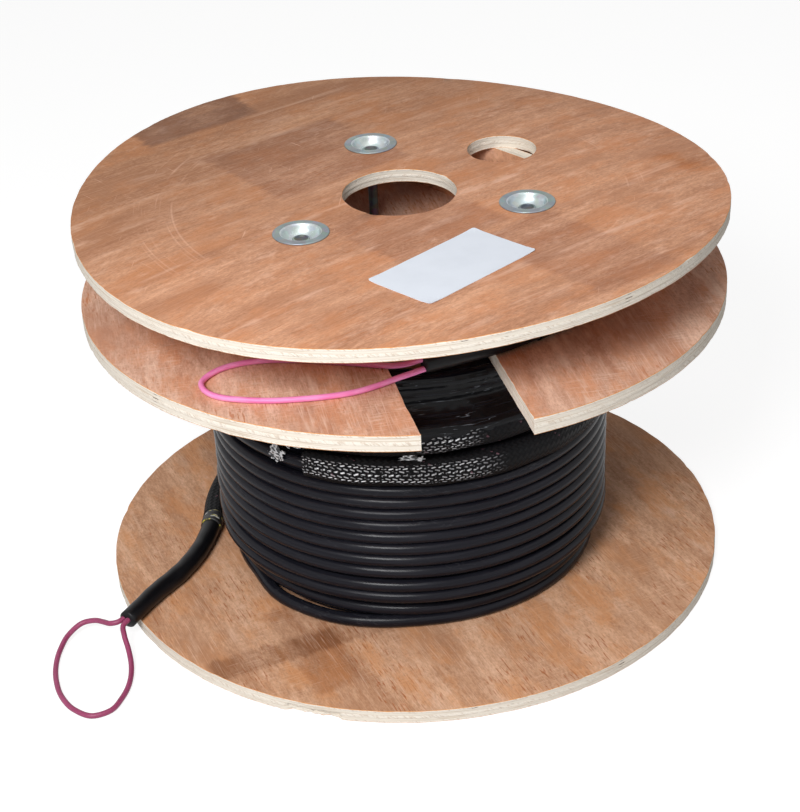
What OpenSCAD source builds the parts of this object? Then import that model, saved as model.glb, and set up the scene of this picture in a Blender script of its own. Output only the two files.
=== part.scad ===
// Wooden cable drum: three plywood flanges bolted over a stave barrel, wound with a black cable.
// The winding bay lies under the middle flange, and a low stowage bay for the cable's inner end above it.
// The drum stands on its bottom flange; the axis is Z and the cable slot opens towards -Y.

/* [Flanges] */
// Diameter of the three flanges
flange_d = 400; // [360:5:480]
// Thickness of the top and bottom flanges and the spacer boards
ply_t = 8.5; // [8:0.5:12]
// Thickness of the middle flange
middle_t = 10.2; // [8:0.1:12]
// Clear height of the winding bay
winding_bay_h = 177.5; // [140:0.5:220]
// Clear height of the stowage bay
stowage_bay_h = 45.8; // [40:0.1:70]
// Diameter of the spindle hole through every flange
spindle_d = 70; // [50:1:80]
// Diameter of the drive hole in the top flange
drive_d = 44; // [30:1:48]
// Distance of the drive hole from the axis
drive_r = 90; // [86:1:110]

/* [Cable slot] */
// Width of the slot in the middle flange
slot_w = 62.8; // [40:0.2:80]
// Sideways offset of the slot from the axis
slot_offset = -6.4; // [-15:0.2:15]
// Distance of the slot's inner end from the axis
slot_end_r = 95; // [92:1:120]

/* [Barrel and spacers] */
// Outer diameter of the stave barrel
barrel_d = 190; // [170:1:210]
// Thickness of a stave
stave_t = 8.5; // [6:0.5:12]
// Number of barrel staves
stave_count = 12; // [8:1:16]
// Gap between neighbouring staves
stave_gap = 1; // [0.5:0.5:3]
// Distance from the axis to a spacer board's inner face
spacer_r = 102; // [90:1:120]
// Length of a spacer board
spacer_len = 150; // [80:1:160]
// Shift of the spacer boards along their length, away from the slot
spacer_shift = 25; // [15:1:30]

/* [Bolts and cup washers] */
// Diameter of the bolt shank
bolt_d = 6; // [5:1:8]
// Gap between a bolt and the staves that it stands inside of
bolt_gap = 3.5; // [0.5:0.5:5]
// Width across flats of the bolt heads and nuts
hex_af = 10; // [9:0.5:11]
// Height of a bolt head
head_h = 2.4; // [2:0.1:4]
// Height of a nut
nut_h = 5; // [4:0.1:5.4]
// Diameter of a cup washer's rim
washer_d = 34; // [31:1:40]
// Diameter of a cup washer's bowl at the rim
bowl_d = 24.5; // [23:0.5:27]
// Diameter of a cup washer's flat bowl floor
bowl_floor_d = 15; // [13.5:0.5:18]
// Depth of a cup washer's bowl
bowl_depth = 6.4; // [6:0.1:6.6]
// Thickness of a cup washer's sheet
washer_t = 1; // [0.8:0.1:1.2]

/* [Cable] */
// Diameter of the cable
cable_d = 8.3; // [7:0.1:11]
// Number of layers in the winding
layer_count = 4; // [3:1:5]
// Share of a diameter that each further layer adds
nesting = 0.95; // [0.87:0.01:1]
// Turns at the bottom where the outer layer is missing
short_turns = 3; // [0:1:6]
// Turns above the braided sleeve, where the outer layer is missing too
top_turns = 3; // [1:1:4]
// Number of turns of the braided sleeve round the winding
sleeve_turns = 2; // [1:1:2]
// Height of one flattened turn of the braided sleeve
sleeve_h = 21; // [16:0.5:27]
// Radial thickness of a turn of the braided sleeve
sleeve_w = 11.5; // [8:0.5:13]

/* [Cable ends] */
// Diameter of the braided sleeve on the cable's ends
tail_sleeve_d = 13; // [11:0.5:13.5]
// Diameter of the tape on the outer end
tail_tape_d = 13.8; // [13:0.2:14.2]
// Diameter of the shrink tube on the outer end
outer_shrink_d = 12; // [10:0.5:12.5]
// Diameter of the shrink tube on the inner end
inner_shrink_d = 12; // [10:0.5:12.5]
// Diameter of the pulling loop's cord
loop_d = 3.8; // [3:0.1:4]

/* [Label] */
// Length of the blank label
label_len = 92; // [60:1:110]
// Width of the blank label
label_w = 42; // [30:1:50]
// Thickness of the label
label_t = 0.3; // [0.2:0.1:0.5]
// Distance of the label's middle from the flange's rim
label_inset = 92; // [80:1:110]
// Sideways shift of the label's middle from the axis
label_shift = 5.5; // [-10:0.5:10]
// Turn of the label's long side from X
label_turn = 27; // [0:1:45]

/* [Hidden] */
$fn = 96;

ply_colour = [0.72, 0.47, 0.33];
stave_colour = [0.80, 0.62, 0.44];
zinc_colour = [0.70, 0.73, 0.76];
cable_colour = [0.06, 0.06, 0.07];
braid_colour = [0.10, 0.10, 0.11];
shrink_colour = [0.08, 0.08, 0.09];
loop_colour = [0.80, 0.26, 0.48];
tape_colour = [0.82, 0.80, 0.70];
label_colour = [0.96, 0.96, 0.95];

// Clearances: between coils and what they lie on, round bolts, round washer bowls and between turns
seat_gap = 0.3;
bolt_clear = 0.5;
bowl_clear = 0.4;
turn_slack = 0.05;
overcut = 1;

// Heights of the flanges' faces
bay_floor = ply_t;
middle_z = bay_floor + winding_bay_h;
middle_top = middle_z + middle_t;
top_z = middle_top + stowage_bay_h;
drum_h = top_z + ply_t;

// The bolts stand just inside the barrel at 90, 210 and 330 degrees, the drive hole midway between two
bolt_r = barrel_d / 2 - stave_t - bolt_gap - bolt_d / 2;
bolt_angles = [90, 210, 330];
drive_angle = 30;
bolt_hole_d = bolt_d + 2 * bolt_clear;

// A cup washer's floor lies this far under the outer face of its rim
cup_floor = bowl_depth + washer_t;

// Cable layers: radius of the middle of layer k, and the heights of the three stretches of the winding
bore_r = barrel_d / 2 + seat_gap;
function layer_r(k) = bore_r + seat_gap + cable_d * (0.5 + nesting * k);
outer_layer = layer_count - 1;
winding_z = bay_floor + seat_gap;
winding_h = winding_bay_h - 2 * seat_gap;
turn_h = cable_d + turn_slack;
top_stretch = top_turns * turn_h;
sleeve_stretch = sleeve_turns * sleeve_h + 2 * seat_gap;
cable_stretch = winding_h - top_stretch - sleeve_stretch;
turn_count = floor(cable_stretch / turn_h);
turn_pitch = cable_stretch / turn_count;
// The sleeve lies on the layer under the outer one
sleeve_layer = outer_layer - 1;
sleeve_bed_r = layer_r(sleeve_layer) + cable_d / 2 + seat_gap;

// Route of the outer end, heights over the bottom flange's upper face: down behind the winding,
// round its left side and out over the rim. The tape and the shrink tube follow on the same line.
outer_route = [
    [139, -14, 142], [141, 22, 139], [128, 63, 129], [98, 104, 112], [54, 131, 89],
    [8, 141, 64], [-38, 135, 42], [-80, 116, 23], [-109, 88, 11], [-126, 55, 7.4],
    [-131, 34, 7.2], [-133.5, 26, 7.2], [-145, 1, 6.5], [-159, -19, 6.3], [-181, -41, 6.3], [-200, -63, 6.3]];
outer_tape_at = 10;
outer_shrink_at = 11;

// Route of the outer pulling loop, heights over the floor: off the shrink tube and down to the floor
outer_loop = [
    [-202.6, -62.2, 15.5], [-206, -64, 15], [-211, -63, 14], [-215, -58, 12.5], [-220, -52, 10.5],
    [-228, -49, 8], [-237, -54, 5], [-244, -66, 2.7], [-248, -81, 2], [-249, -97, 2],
    [-247, -113, 2], [-241, -127, 2], [-231, -136, 2], [-220, -134, 2], [-212, -124, 2],
    [-206, -111, 2.2], [-203, -97, 4], [-203, -84, 8], [-204, -75, 12], [-203.5, -68, 14.5],
    [-199.9, -64.5, 15.5]];

// Route of the inner end, heights over the middle flange's upper face: from the shrink tube round
// the stowage bay, past the spacer boards, and down through the slot on to the winding's top.
inner_route = [
    [-18.7, -130.5, 6.3], [0, -126.6, 6.3], [24, -121.5, 6.3], [52, -112, 6.8], [82, -97, 6.8],
    [110, -74, 6.8], [131, -42, 6.8], [143, -4, 6.8], [146, 34, 6.8], [144, 72, 6.8], [134, 106, 6.8],
    [116, 136, 6.8], [88, 156, 6.8], [50, 163, 6.8], [12, 157, 6.8], [-20, 139, 6.8], [-42, 108, 6.8],
    [-54, 74, 6.8], [-62, 40, 5], [-63, 8, 4.6], [-58, -24, 4.6], [-50, -56, 4.8], [-40, -82, 5.4],
    [-24, -97, 4.6], [-5, -101, -1.2], [18, -99.7, -6.2]];
inner_sleeve_at = 3;
inner_cable_at = 17;

// Route of the inner pulling loop, heights over the middle flange's upper face
inner_loop = [
    [-20, -132.2, 3.4], [-27, -134, 3], [-36, -136.3, 2.6], [-47, -140, 2.2], [-61.5, -143.5, 2],
    [-74, -144, 2], [-86, -143, 2], [-96, -141.5, 2], [-106, -139.5, 2], [-116, -136.3, 2],
    [-126, -132, 2], [-133.5, -127.8, 2], [-139.3, -122.5, 2], [-143, -115, 2], [-143.2, -107, 2],
    [-138, -99.5, 2], [-129, -93.5, 2], [-118, -91, 2], [-104, -91.7, 2], [-88, -96, 2],
    [-72, -102.5, 2], [-56, -110.5, 2], [-44, -117.5, 2.4], [-34, -123.5, 3.6], [-27, -127.3, 5.8],
    [-20.2, -129.4, 8.2]];

tail_sides = 10;
loop_sides = 8;

// Sweep of a round cord along route points, with one ring of vertices at each point
function unit(v) = v / norm(v);
function tangent(route, i) = unit(route[min(i + 1, len(route) - 1)] - route[max(i - 1, 0)]);
function ring(route, i, r, sides) =
    let (along = tangent(route, i), side = unit(cross(along, [0, 0, 1])), up = cross(side, along))
    [for (k = [0:sides - 1]) route[i] + r * (cos(360 * k / sides) * side + sin(360 * k / sides) * up)];

module cord(route, d, sides, first, last) {
    rings = last - first + 1;
    points = [for (i = [first:last]) each ring(route, i, d / 2, sides)];
    walls = [for (i = [0:rings - 2]) for (k = [0:sides - 1])
        let (a = i * sides + k, b = i * sides + (k + 1) % sides)
        each [[a, b, b + sides], [a, b + sides, a + sides]]];
    start_cap = [for (k = [sides - 1:-1:0]) k];
    end_cap = [for (k = [0:sides - 1]) (rings - 1) * sides + k];
    polyhedron(points, concat(walls, [start_cap, end_cap]), convexity = 4);
}

// Places its children on each bolt's axis
module at_bolt(i) rotate(bolt_angles[i]) translate([bolt_r, 0, 0]) children();

// One plywood disc with its spindle hole and bolt holes, standing on z = 0
module flange_disc(thick) {
    linear_extrude(thick) difference() {
        circle(d = flange_d, $fn = 180);
        circle(d = spindle_d);
        for (i = [0:2]) at_bolt(i) circle(d = bolt_hole_d);
    }
}

// Seat of a cup washer, cut down from z = 0: the bowl's hole, and a recess for the rim where it is flush
module washer_seat(rim_recess) {
    translate([0, 0, -cup_floor - bowl_clear - rim_recess + washer_t])
        cylinder(d = bowl_d + 2 * (washer_t + bowl_clear), h = ply_t);
    if (rim_recess > 0) translate([0, 0, -rim_recess]) cylinder(d = washer_d + 2 * bowl_clear, h = ply_t);
}

module top_flange() {
    color(ply_colour) translate([0, 0, top_z]) difference() {
        flange_disc(ply_t);
        rotate(drive_angle) translate([drive_r, 0, -overcut]) cylinder(d = drive_d, h = ply_t + 2 * overcut);
        for (i = [0:2]) at_bolt(i) translate([0, 0, ply_t]) washer_seat(0);
    }
}

module middle_flange() {
    color(ply_colour) translate([0, 0, middle_z]) difference() {
        flange_disc(middle_t);
        translate([slot_offset - slot_w / 2, -flange_d, -overcut])
            cube([slot_w, flange_d - slot_end_r, middle_t + 2 * overcut]);
    }
}

module bottom_flange() {
    color(ply_colour) difference() {
        flange_disc(ply_t);
        for (i = [0:2]) at_bolt(i) mirror([0, 0, 1]) washer_seat(washer_t);
    }
}

// Ring of staves between the bottom and the middle flange
module barrel_staves() {
    color(stave_colour) translate([0, 0, bay_floor]) linear_extrude(winding_bay_h) difference() {
        circle(d = barrel_d);
        circle(d = barrel_d - 2 * stave_t);
        for (i = [0:stave_count - 1]) rotate(360 * (i + 0.5) / stave_count)
            translate([0, -stave_gap / 2]) square([barrel_d, stave_gap]);
    }
}

// Board on edge in the stowage bay; side is 1 on the drive hole's side and -1 opposite
module spacer_board(side) {
    color(ply_colour) rotate(drive_angle)
        translate([side * (spacer_r + ply_t / 2) - ply_t / 2, spacer_shift - spacer_len / 2, middle_top])
            cube([ply_t, spacer_len, stowage_bay_h]);
}

// Pressed cup washer, rim face up at z = 0 and bowl below it
module cup_washer() {
    color(zinc_colour) rotate_extrude() polygon([
        [bolt_hole_d / 2, -cup_floor], [bowl_floor_d / 2 + washer_t, -cup_floor],
        [bowl_d / 2 + washer_t, -washer_t], [washer_d / 2, -washer_t], [washer_d / 2, 0],
        [bowl_d / 2, 0], [bowl_floor_d / 2, -bowl_depth], [bolt_hole_d / 2, -bowl_depth]]);
}

module top_washer(i) at_bolt(i) translate([0, 0, drum_h + washer_t]) cup_washer();

module base_washer(i) at_bolt(i) mirror([0, 0, 1]) cup_washer();

module hexagon(h) cylinder(d = hex_af / cos(30), h = h, $fn = 6);

// Hexagon bolt from its head in the top cup washer to the nut in the base cup washer
module bolt(i) {
    head_z = drum_h + washer_t - bowl_depth;
    foot_z = bowl_depth - nut_h;
    color(zinc_colour) at_bolt(i) {
        translate([0, 0, head_z]) hexagon(head_h);
        translate([0, 0, foot_z]) cylinder(d = bolt_d, h = head_z - foot_z + overcut);
    }
}

module nut(i) {
    color(zinc_colour) at_bolt(i) translate([0, 0, bowl_depth - nut_h]) difference() {
        hexagon(nut_h);
        translate([0, 0, -overcut]) cylinder(d = bolt_d + seat_gap, h = nut_h + 2 * overcut);
    }
}

// Row of turns that ends the winding: one circle on each layer up to the given one
module end_row(last_layer, z) {
    for (k = [0:last_layer]) translate([layer_r(k), z]) circle(d = cable_d);
}

// Solid middle of a stretch of the winding, out to radius r
module core(r, z_low, z_high) translate([bore_r, z_low]) square([r - bore_r, z_high - z_low]);

// Section of the winding: a core edged with the turns that show on its side and on its two ends
module winding_section() {
    row_z = turn_pitch / 2;
    top_row_z = winding_h - turn_h / 2;
    for (i = [short_turns:turn_count - 1])
        translate([layer_r(outer_layer), turn_pitch * i + row_z]) circle(d = cable_d);
    for (i = [1:max(1, short_turns - 1)])
        translate([layer_r(outer_layer - 1), turn_pitch * i + row_z]) circle(d = cable_d);
    for (i = [1:max(1, top_turns - 1)])
        translate([layer_r(outer_layer - 1), top_row_z - i * turn_h]) circle(d = cable_d);
    end_row(outer_layer - 1, row_z);
    end_row(outer_layer - 1, top_row_z);
    core(layer_r(outer_layer - 1), row_z, top_row_z);
    core(layer_r(outer_layer - 1) + cable_d / 2, cable_stretch, winding_h - top_stretch);
    core(layer_r(outer_layer), row_z + short_turns * turn_pitch, cable_stretch - row_z);
}

module cable_winding() {
    color(cable_colour) translate([0, 0, winding_z]) rotate_extrude($fn = 180) winding_section();
}

// Section of one flattened turn of sleeve: an upright band with round ends
module sleeve_section() {
    band_h = sleeve_h - seat_gap - sleeve_w;
    square([sleeve_w, band_h], center = true);
    for (end = [-1, 1]) translate([0, end * band_h / 2]) circle(d = sleeve_w);
}

// Turns of braided sleeve, stacked round the upper half of the winding
module sleeve_winding() {
    color(braid_colour) translate([0, 0, winding_z + cable_stretch + seat_gap]) rotate_extrude($fn = 180)
        for (i = [0:sleeve_turns - 1]) translate([sleeve_bed_r + sleeve_w / 2, sleeve_h * (i + 0.5)])
            sleeve_section();
}

module outer_tail(d, first, last)
    translate([0, 0, bay_floor]) cord(outer_route, d, tail_sides, first, last);

module inner_tail(d, first, last)
    translate([0, 0, middle_top]) cord(inner_route, d, tail_sides, first, last);

module outer_tail_sleeve() color(braid_colour) outer_tail(tail_sleeve_d, 0, outer_tape_at);

module outer_tail_tape() color(tape_colour) outer_tail(tail_tape_d, outer_tape_at, outer_shrink_at);

module outer_tail_shrink()
    color(shrink_colour) outer_tail(outer_shrink_d, outer_shrink_at, len(outer_route) - 1);

module outer_pulling_loop() color(loop_colour) cord(outer_loop, loop_d, loop_sides, 0, len(outer_loop) - 1);

module inner_tail_shrink() color(shrink_colour) inner_tail(inner_shrink_d, 0, inner_sleeve_at);

module inner_tail_sleeve() color(braid_colour) inner_tail(tail_sleeve_d, inner_sleeve_at, inner_cable_at);

module inner_tail_cable() color(cable_colour) inner_tail(cable_d, inner_cable_at, len(inner_route) - 1);

module inner_pulling_loop()
    color(loop_colour) translate([0, 0, middle_top])
        cord(inner_loop, loop_d, loop_sides, 0, len(inner_loop) - 1);

// Blank paper label stuck on the top flange over the slot
module label() {
    color(label_colour) translate([label_shift, label_inset - flange_d / 2, drum_h]) rotate(label_turn)
        translate([-label_len / 2, -label_w / 2, 0]) cube([label_len, label_w, label_t]);
}

top_flange();
middle_flange();
bottom_flange();
barrel_staves();
spacer_board(1);  // spacer_board_right
spacer_board(-1);  // spacer_board_left
bolt(0);  // bolt_1
bolt(1);  // bolt_2
bolt(2);  // bolt_3
nut(0);  // nut_1
nut(1);  // nut_2
nut(2);  // nut_3
top_washer(0);  // top_washer_1
top_washer(1);  // top_washer_2
top_washer(2);  // top_washer_3
base_washer(0);  // base_washer_1
base_washer(1);  // base_washer_2
base_washer(2);  // base_washer_3
cable_winding();
sleeve_winding();
outer_tail_sleeve();
outer_tail_tape();
outer_tail_shrink();
outer_pulling_loop();
inner_tail_cable();
inner_tail_sleeve();
inner_tail_shrink();
inner_pulling_loop();
label();
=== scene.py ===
"""Looks of the plywood cable drum: veneer and ply edges, wound cable, braided sleeve, tails and loops."""
import logging
import math
from dataclasses import dataclass, field
from enum import Enum
from functools import cache

import bpy
import numpy as np
from mathutils import Matrix, Vector
from mathutils.geometry import delaunay_2d_cdt


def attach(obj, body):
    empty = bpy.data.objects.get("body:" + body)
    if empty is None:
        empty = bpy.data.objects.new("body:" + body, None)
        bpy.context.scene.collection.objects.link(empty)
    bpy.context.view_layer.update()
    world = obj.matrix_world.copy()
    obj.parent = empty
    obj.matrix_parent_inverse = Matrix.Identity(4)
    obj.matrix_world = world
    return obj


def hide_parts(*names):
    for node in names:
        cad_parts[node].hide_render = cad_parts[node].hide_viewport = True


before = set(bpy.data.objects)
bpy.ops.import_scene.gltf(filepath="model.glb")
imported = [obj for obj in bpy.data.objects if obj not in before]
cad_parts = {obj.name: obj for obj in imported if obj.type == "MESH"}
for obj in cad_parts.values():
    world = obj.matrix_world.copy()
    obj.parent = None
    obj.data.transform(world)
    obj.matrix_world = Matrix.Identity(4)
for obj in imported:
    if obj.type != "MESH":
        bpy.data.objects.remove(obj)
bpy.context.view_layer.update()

LOG = logging.getLogger("cable_drum")
MM = 0.001
TAU = 2 * math.pi
Array = np.ndarray
Colour = tuple[float, float, float]
Triple = tuple[float, float, float]
Inputs = dict[str, object]
Material = bpy.types.Material
Piece = bpy.types.Object
Socket = bpy.types.NodeSocket
Tree = bpy.types.NodeTree


class Slot(Enum):
    """Names of the kinds of material that the pieces stand for."""

    PLYWOOD = "plywood"
    ZINC = "zinc_steel"
    JACKET = "cable_jacket"
    BRAID = "braided_sleeve"
    SHRINK = "shrink_tube"
    LOOP = "loop_cord"
    TAPE = "tape"
    PAPER = "label_paper"


class Lay(Enum):
    """How a cord lies."""

    LOOSE = "loose"
    COILED = "coiled"


# Heights of the drum's faces, in metres, as the solids have them.
PLY = 8.5 * MM
BAY_FLOOR = 8.5 * MM
MIDDLE_LOW = 186 * MM
MIDDLE_TOP = 196.2 * MM
TOP_LOW = 242 * MM
TOP_FACE = 250.5 * MM
FLANGE_R = 200 * MM
BOLT_R = 80 * MM
BOLT_ANGLES = (90.0, 210.0, 330.0)
VIEW_TURN = math.radians(12.5)
# Radii of the holes and of the washers' seats, and where the drive hole is.
SPINDLE_R = 35 * MM
DRIVE_R = 22 * MM
DRIVE_OUT = 90 * MM
DRIVE_AT = math.radians(30)
SEAT_R = 13.65 * MM
LOW_SEAT_R = 17.4 * MM
# Glue lines of the plywood, as shares of its thickness.
PLY_LINES = (0.135, 0.38, 0.62, 0.865)


def noise(x: Array, seed: int, waves: int = 9, low: float = 0.6, high: float = 6.0) -> Array:
    """Smooth noise of about unit size: a sum of sines with seeded frequencies and phases.

    Args:
        x: places, in any unit.
        seed: number that fixes the sines.
        waves: how many sines are added.
        low: lowest frequency in radians per unit.
        high: highest frequency in radians per unit.

    Returns:
        The noise at each place.
    """
    rng = np.random.default_rng(seed)
    frequency = rng.uniform(low, high, waves)
    phase = rng.uniform(0, TAU, waves)
    return np.sin(np.asarray(x, float)[..., None] * frequency + phase).sum(-1) / math.sqrt(waves)


def noise2(x: Array, y: Array, seed: int, waves: int = 14, high: float = 6.0) -> Array:
    """Smooth noise over a surface: a sum of plane waves with seeded directions.

    Args:
        x: first coordinate.
        y: second coordinate.
        seed: number that fixes the waves.
        waves: how many waves are added.
        high: highest frequency in radians per unit.

    Returns:
        The noise at each place.
    """
    rng = np.random.default_rng(seed)
    turn = rng.uniform(0, TAU, waves)
    frequency = rng.uniform(0.25, 1, waves) * high
    phase = rng.uniform(0, TAU, waves)
    along = np.asarray(x, float)[..., None] * np.cos(turn) + np.asarray(y, float)[..., None] * np.sin(turn)
    return np.sin(along * frequency + phase).sum(-1) / math.sqrt(waves)


def smooth(x: Array, low: float, high: float) -> Array:
    """Smooth step from 0 at low to 1 at high."""
    t = np.clip((np.asarray(x, float) - low) / (high - low), 0, 1)
    return t * t * (3 - 2 * t)


def reach(path: Array) -> Array:
    """Length of a line of points up to each of them."""
    return np.concatenate([[0], np.cumsum(np.linalg.norm(np.diff(path, axis=0), axis=1))])


def nearest(path: Array, spot: Array) -> int:
    """Number of the path's point that is nearest to a spot."""
    return int(np.linalg.norm(path - spot, axis=1).argmin())


def even(path: Array, step: float) -> Array:
    """The same line with its points about one step apart.

    Args:
        path: points of the line.
        step: distance between the new points.

    Returns:
        The new points.
    """
    far = reach(path)
    at = np.linspace(0, far[-1], max(3, int(round(far[-1] / step)) + 1))
    return np.stack([np.interp(at, far, column) for column in path.T], axis=1)


def spline(knots: Array, step: float) -> Array:
    """Smooth line through knots: cubic pieces whose slopes come from the neighbours, cut at equal steps.

    Args:
        knots: points that the line passes, one row each.
        step: distance between the points of the line.

    Returns:
        The points of the line.
    """
    knots = np.asarray(knots, float)
    t = reach(knots)
    slope = np.gradient(knots, t, axis=0)
    fine = np.linspace(0, t[-1], 40 * len(knots))
    i = np.clip(np.searchsorted(t, fine, side="right") - 1, 0, len(knots) - 2)
    gap = (t[i + 1] - t[i])[:, None]
    u = ((fine - t[i])[:, None]) / gap
    line = (
        (2 * u**3 - 3 * u**2 + 1) * knots[i]
        + (u**3 - 2 * u**2 + u) * gap * slope[i]
        + (3 * u**2 - 2 * u**3) * knots[i + 1]
        + (u**3 - u**2) * gap * slope[i + 1]
    )
    return even(line, step)


@dataclass
class Patch:
    """Part of a mesh: points, four- and three-sided faces with their corner UVs, and a material number."""

    points: Array
    quads: Array = field(default_factory=lambda: np.zeros((0, 4), int))
    quad_uv: Array = field(default_factory=lambda: np.zeros((0, 4, 2)))
    tris: Array = field(default_factory=lambda: np.zeros((0, 3), int))
    tri_uv: Array = field(default_factory=lambda: np.zeros((0, 3, 2)))
    slot: int = 0

    def turned(self) -> "Patch":
        """The same patch with its four-sided faces turned over."""
        self.quads, self.quad_uv = self.quads[:, ::-1], self.quad_uv[:, ::-1]
        return self


def grid_patch(
    points: Array, u: Array, v: Array, wrap_u: bool = False, wrap_v: bool = False, slot: int = 0
) -> Patch:
    """Faces of a grid of points: cell (i, j) joins rows i, i+1 and columns j, j+1.

    Args:
        points: grid of shape (rows, columns, 3).
        u: UV along the rows, one longer than the rows if they wrap.
        v: UV along the columns, one longer than the columns if they wrap.
        wrap_u: whether the last row joins the first.
        wrap_v: whether the last column joins the first.
        slot: material number.

    Returns:
        The patch, with faces turned so that rows x columns points outwards.
    """
    rows, columns = points.shape[:2]
    i, j = np.meshgrid(np.arange(rows - (not wrap_u)), np.arange(columns - (not wrap_v)), indexing="ij")
    i, j = i.ravel(), j.ravel()
    i1, j1 = (i + 1) % rows, (j + 1) % columns
    quads = np.stack([i * columns + j, i1 * columns + j, i1 * columns + j1, i * columns + j1], axis=1)
    u, v = np.asarray(u, float), np.asarray(v, float)
    uv = np.stack(
        [np.stack([u[a], v[b]], -1) for a, b in ((i, j), (i + 1, j), (i + 1, j + 1), (i, j + 1))], axis=1
    )
    return Patch(points.reshape(-1, 3), quads, uv, slot=slot)


def add_fan(patch: Patch, ring: Array, centre: Array, flip: bool) -> Patch:
    """Closes a ring of the patch's points with a fan of triangles round one new point.

    Args:
        patch: patch that gets the fan.
        ring: numbers of the ring's points, in order.
        centre: the new point.
        flip: whether the fan's faces are turned over.

    Returns:
        The same patch.
    """
    middle = len(patch.points)
    nxt = np.roll(ring, -1)
    fan = np.stack([np.full(len(ring), middle), ring, nxt], axis=1)
    fan = fan[:, ::-1] if flip else fan
    patch.points = np.concatenate([patch.points, np.asarray(centre, float)[None]])
    patch.tris = np.concatenate([patch.tris, fan])
    patch.tri_uv = np.concatenate([patch.tri_uv, np.zeros((len(fan), 3, 2))])
    return patch


def frames_of(path: Array) -> tuple[Array, Array, Array]:
    """Directions at each point of a line.

    Args:
        path: points of the line.

    Returns:
        Directions along the line, level across it, and upright to both.
    """
    along = np.gradient(path, axis=0)
    along /= np.linalg.norm(along, axis=1, keepdims=True)
    side = np.cross(along, [0.0, 0.0, 1.0])
    side /= np.linalg.norm(side, axis=1, keepdims=True)
    return along, side, np.cross(side, along)


def tube_patch(
    path: Array,
    half_side: Array | float,
    half_up: Array | float,
    sides: int,
    relief: Array | None = None,
    power: float = 2.0,
    dome: float = 0.5,
    slot: int = 0,
) -> Patch:
    """Closed tube: a rounded section carried along a path, its half-widths times (cos a, sin a)^(2/power).

    Args:
        path: centreline points.
        half_side: level half-width of the section at each point.
        half_up: upright half-width of the section at each point.
        sides: points round the section.
        relief: factor on the section at each path point and side.
        power: 2 for an ellipse, more for a squarer section.
        dome: how far the ends bulge, as a share of the half-width.
        slot: material number.

    Returns:
        The patch; UV is metres along the tube and turns round it.
    """
    count = len(path)
    along, side, up = frames_of(path)
    angle = np.arange(sides) * TAU / sides
    cos, sin = np.cos(angle), np.sin(angle)
    cos = np.sign(cos) * np.abs(cos) ** (2 / power)
    sin = np.sign(sin) * np.abs(sin) ** (2 / power)
    a = np.broadcast_to(half_side, count)[:, None] * cos
    b = np.broadcast_to(half_up, count)[:, None] * sin
    factor = np.ones((count, sides)) if relief is None else relief
    grid = path[:, None] + (a * factor)[..., None] * side[:, None] + (b * factor)[..., None] * up[:, None]
    size = float(np.mean(np.broadcast_to(half_side, count)))
    lean = np.radians([75, 50, 25])
    shrink = np.cos(lean)[:, None, None]
    push = (dome * size * np.sin(lean))[:, None, None]
    first = path[0] + (grid[0] - path[0]) * shrink - along[0] * push
    last = path[-1] + (grid[-1] - path[-1]) * shrink[::-1] + along[-1] * push[::-1]
    grid = np.concatenate([first, grid, last])
    far = reach(path)
    u = np.concatenate([np.full(3, far[0]), far, np.full(3, far[-1])])
    patch = grid_patch(grid, u, np.arange(sides + 1) / sides, wrap_v=True, slot=slot)
    ring = np.arange(sides)
    add_fan(patch, ring, path[0] - along[0] * dome * size, flip=False)
    add_fan(patch, ring + (len(grid) - 1) * sides, path[-1] + along[-1] * dome * size, flip=True)
    return patch


def lathe_patch(profile: Array, centre: tuple[float, float], count: int, closed: bool, slot: int = 0) -> Patch:
    """Turned surface: each profile point (r, z) goes round an upright axis.

    Args:
        profile: (r, z) rows, ordered so that the outside is on the right of the line.
        centre: the axis's x and y.
        count: points round the axis.
        closed: whether the profile's last point joins its first.
        slot: material number.

    Returns:
        The patch; UV is the profile's length and turns round it.
    """
    angle = np.arange(count) * TAU / count
    r, z = profile[:, :1], profile[:, 1:]
    grid = np.stack(
        [centre[0] + r * np.cos(angle), centre[1] + r * np.sin(angle), np.broadcast_to(z, (len(r), count))], -1
    )
    line = np.concatenate([profile, profile[:1]]) if closed else profile
    u = reach(line)
    return grid_patch(grid, u, np.arange(count + 1) / count, wrap_u=closed, wrap_v=True, slot=slot).turned()


def slab_patch(upper: Array, lower: Array, slot: int = 0) -> Patch:
    """Closed thin sheet between two grids of the same shape, with a rim round their edges.

    Args:
        upper: grid (rows, columns, 3) of the upper face.
        lower: grid of the lower face.
        slot: material number.

    Returns:
        The patch; UV runs from 0 to 1 over the sheet.
    """
    rows, columns = upper.shape[:2]
    u, v = np.linspace(0, 1, rows), np.linspace(0, 1, columns)
    top, bottom = grid_patch(upper, u, v), grid_patch(lower, u, v)
    count = rows * columns
    number = np.arange(count).reshape(rows, columns)
    loop = np.concatenate([number[:-1, 0], number[-1, :-1], number[:0:-1, -1], number[0, :0:-1]])
    nxt = np.roll(loop, -1)
    rim = np.stack([loop, loop + count, nxt + count, nxt], axis=1)
    quads = np.concatenate([top.quads, bottom.quads[:, ::-1] + count, rim])
    uv = np.concatenate([top.quad_uv, bottom.quad_uv[:, ::-1], np.zeros((len(rim), 4, 2))])
    return Patch(np.concatenate([top.points, bottom.points]), quads, uv, slot=slot)


def link(name: str, data: bpy.types.ID) -> Piece:
    """Adds an object to the scene.

    Args:
        name: the object's name.
        data: its mesh, lamp or camera.

    Returns:
        The object.
    """
    obj = bpy.data.objects.new(name, data)
    bpy.context.scene.collection.objects.link(obj)
    return obj


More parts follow.
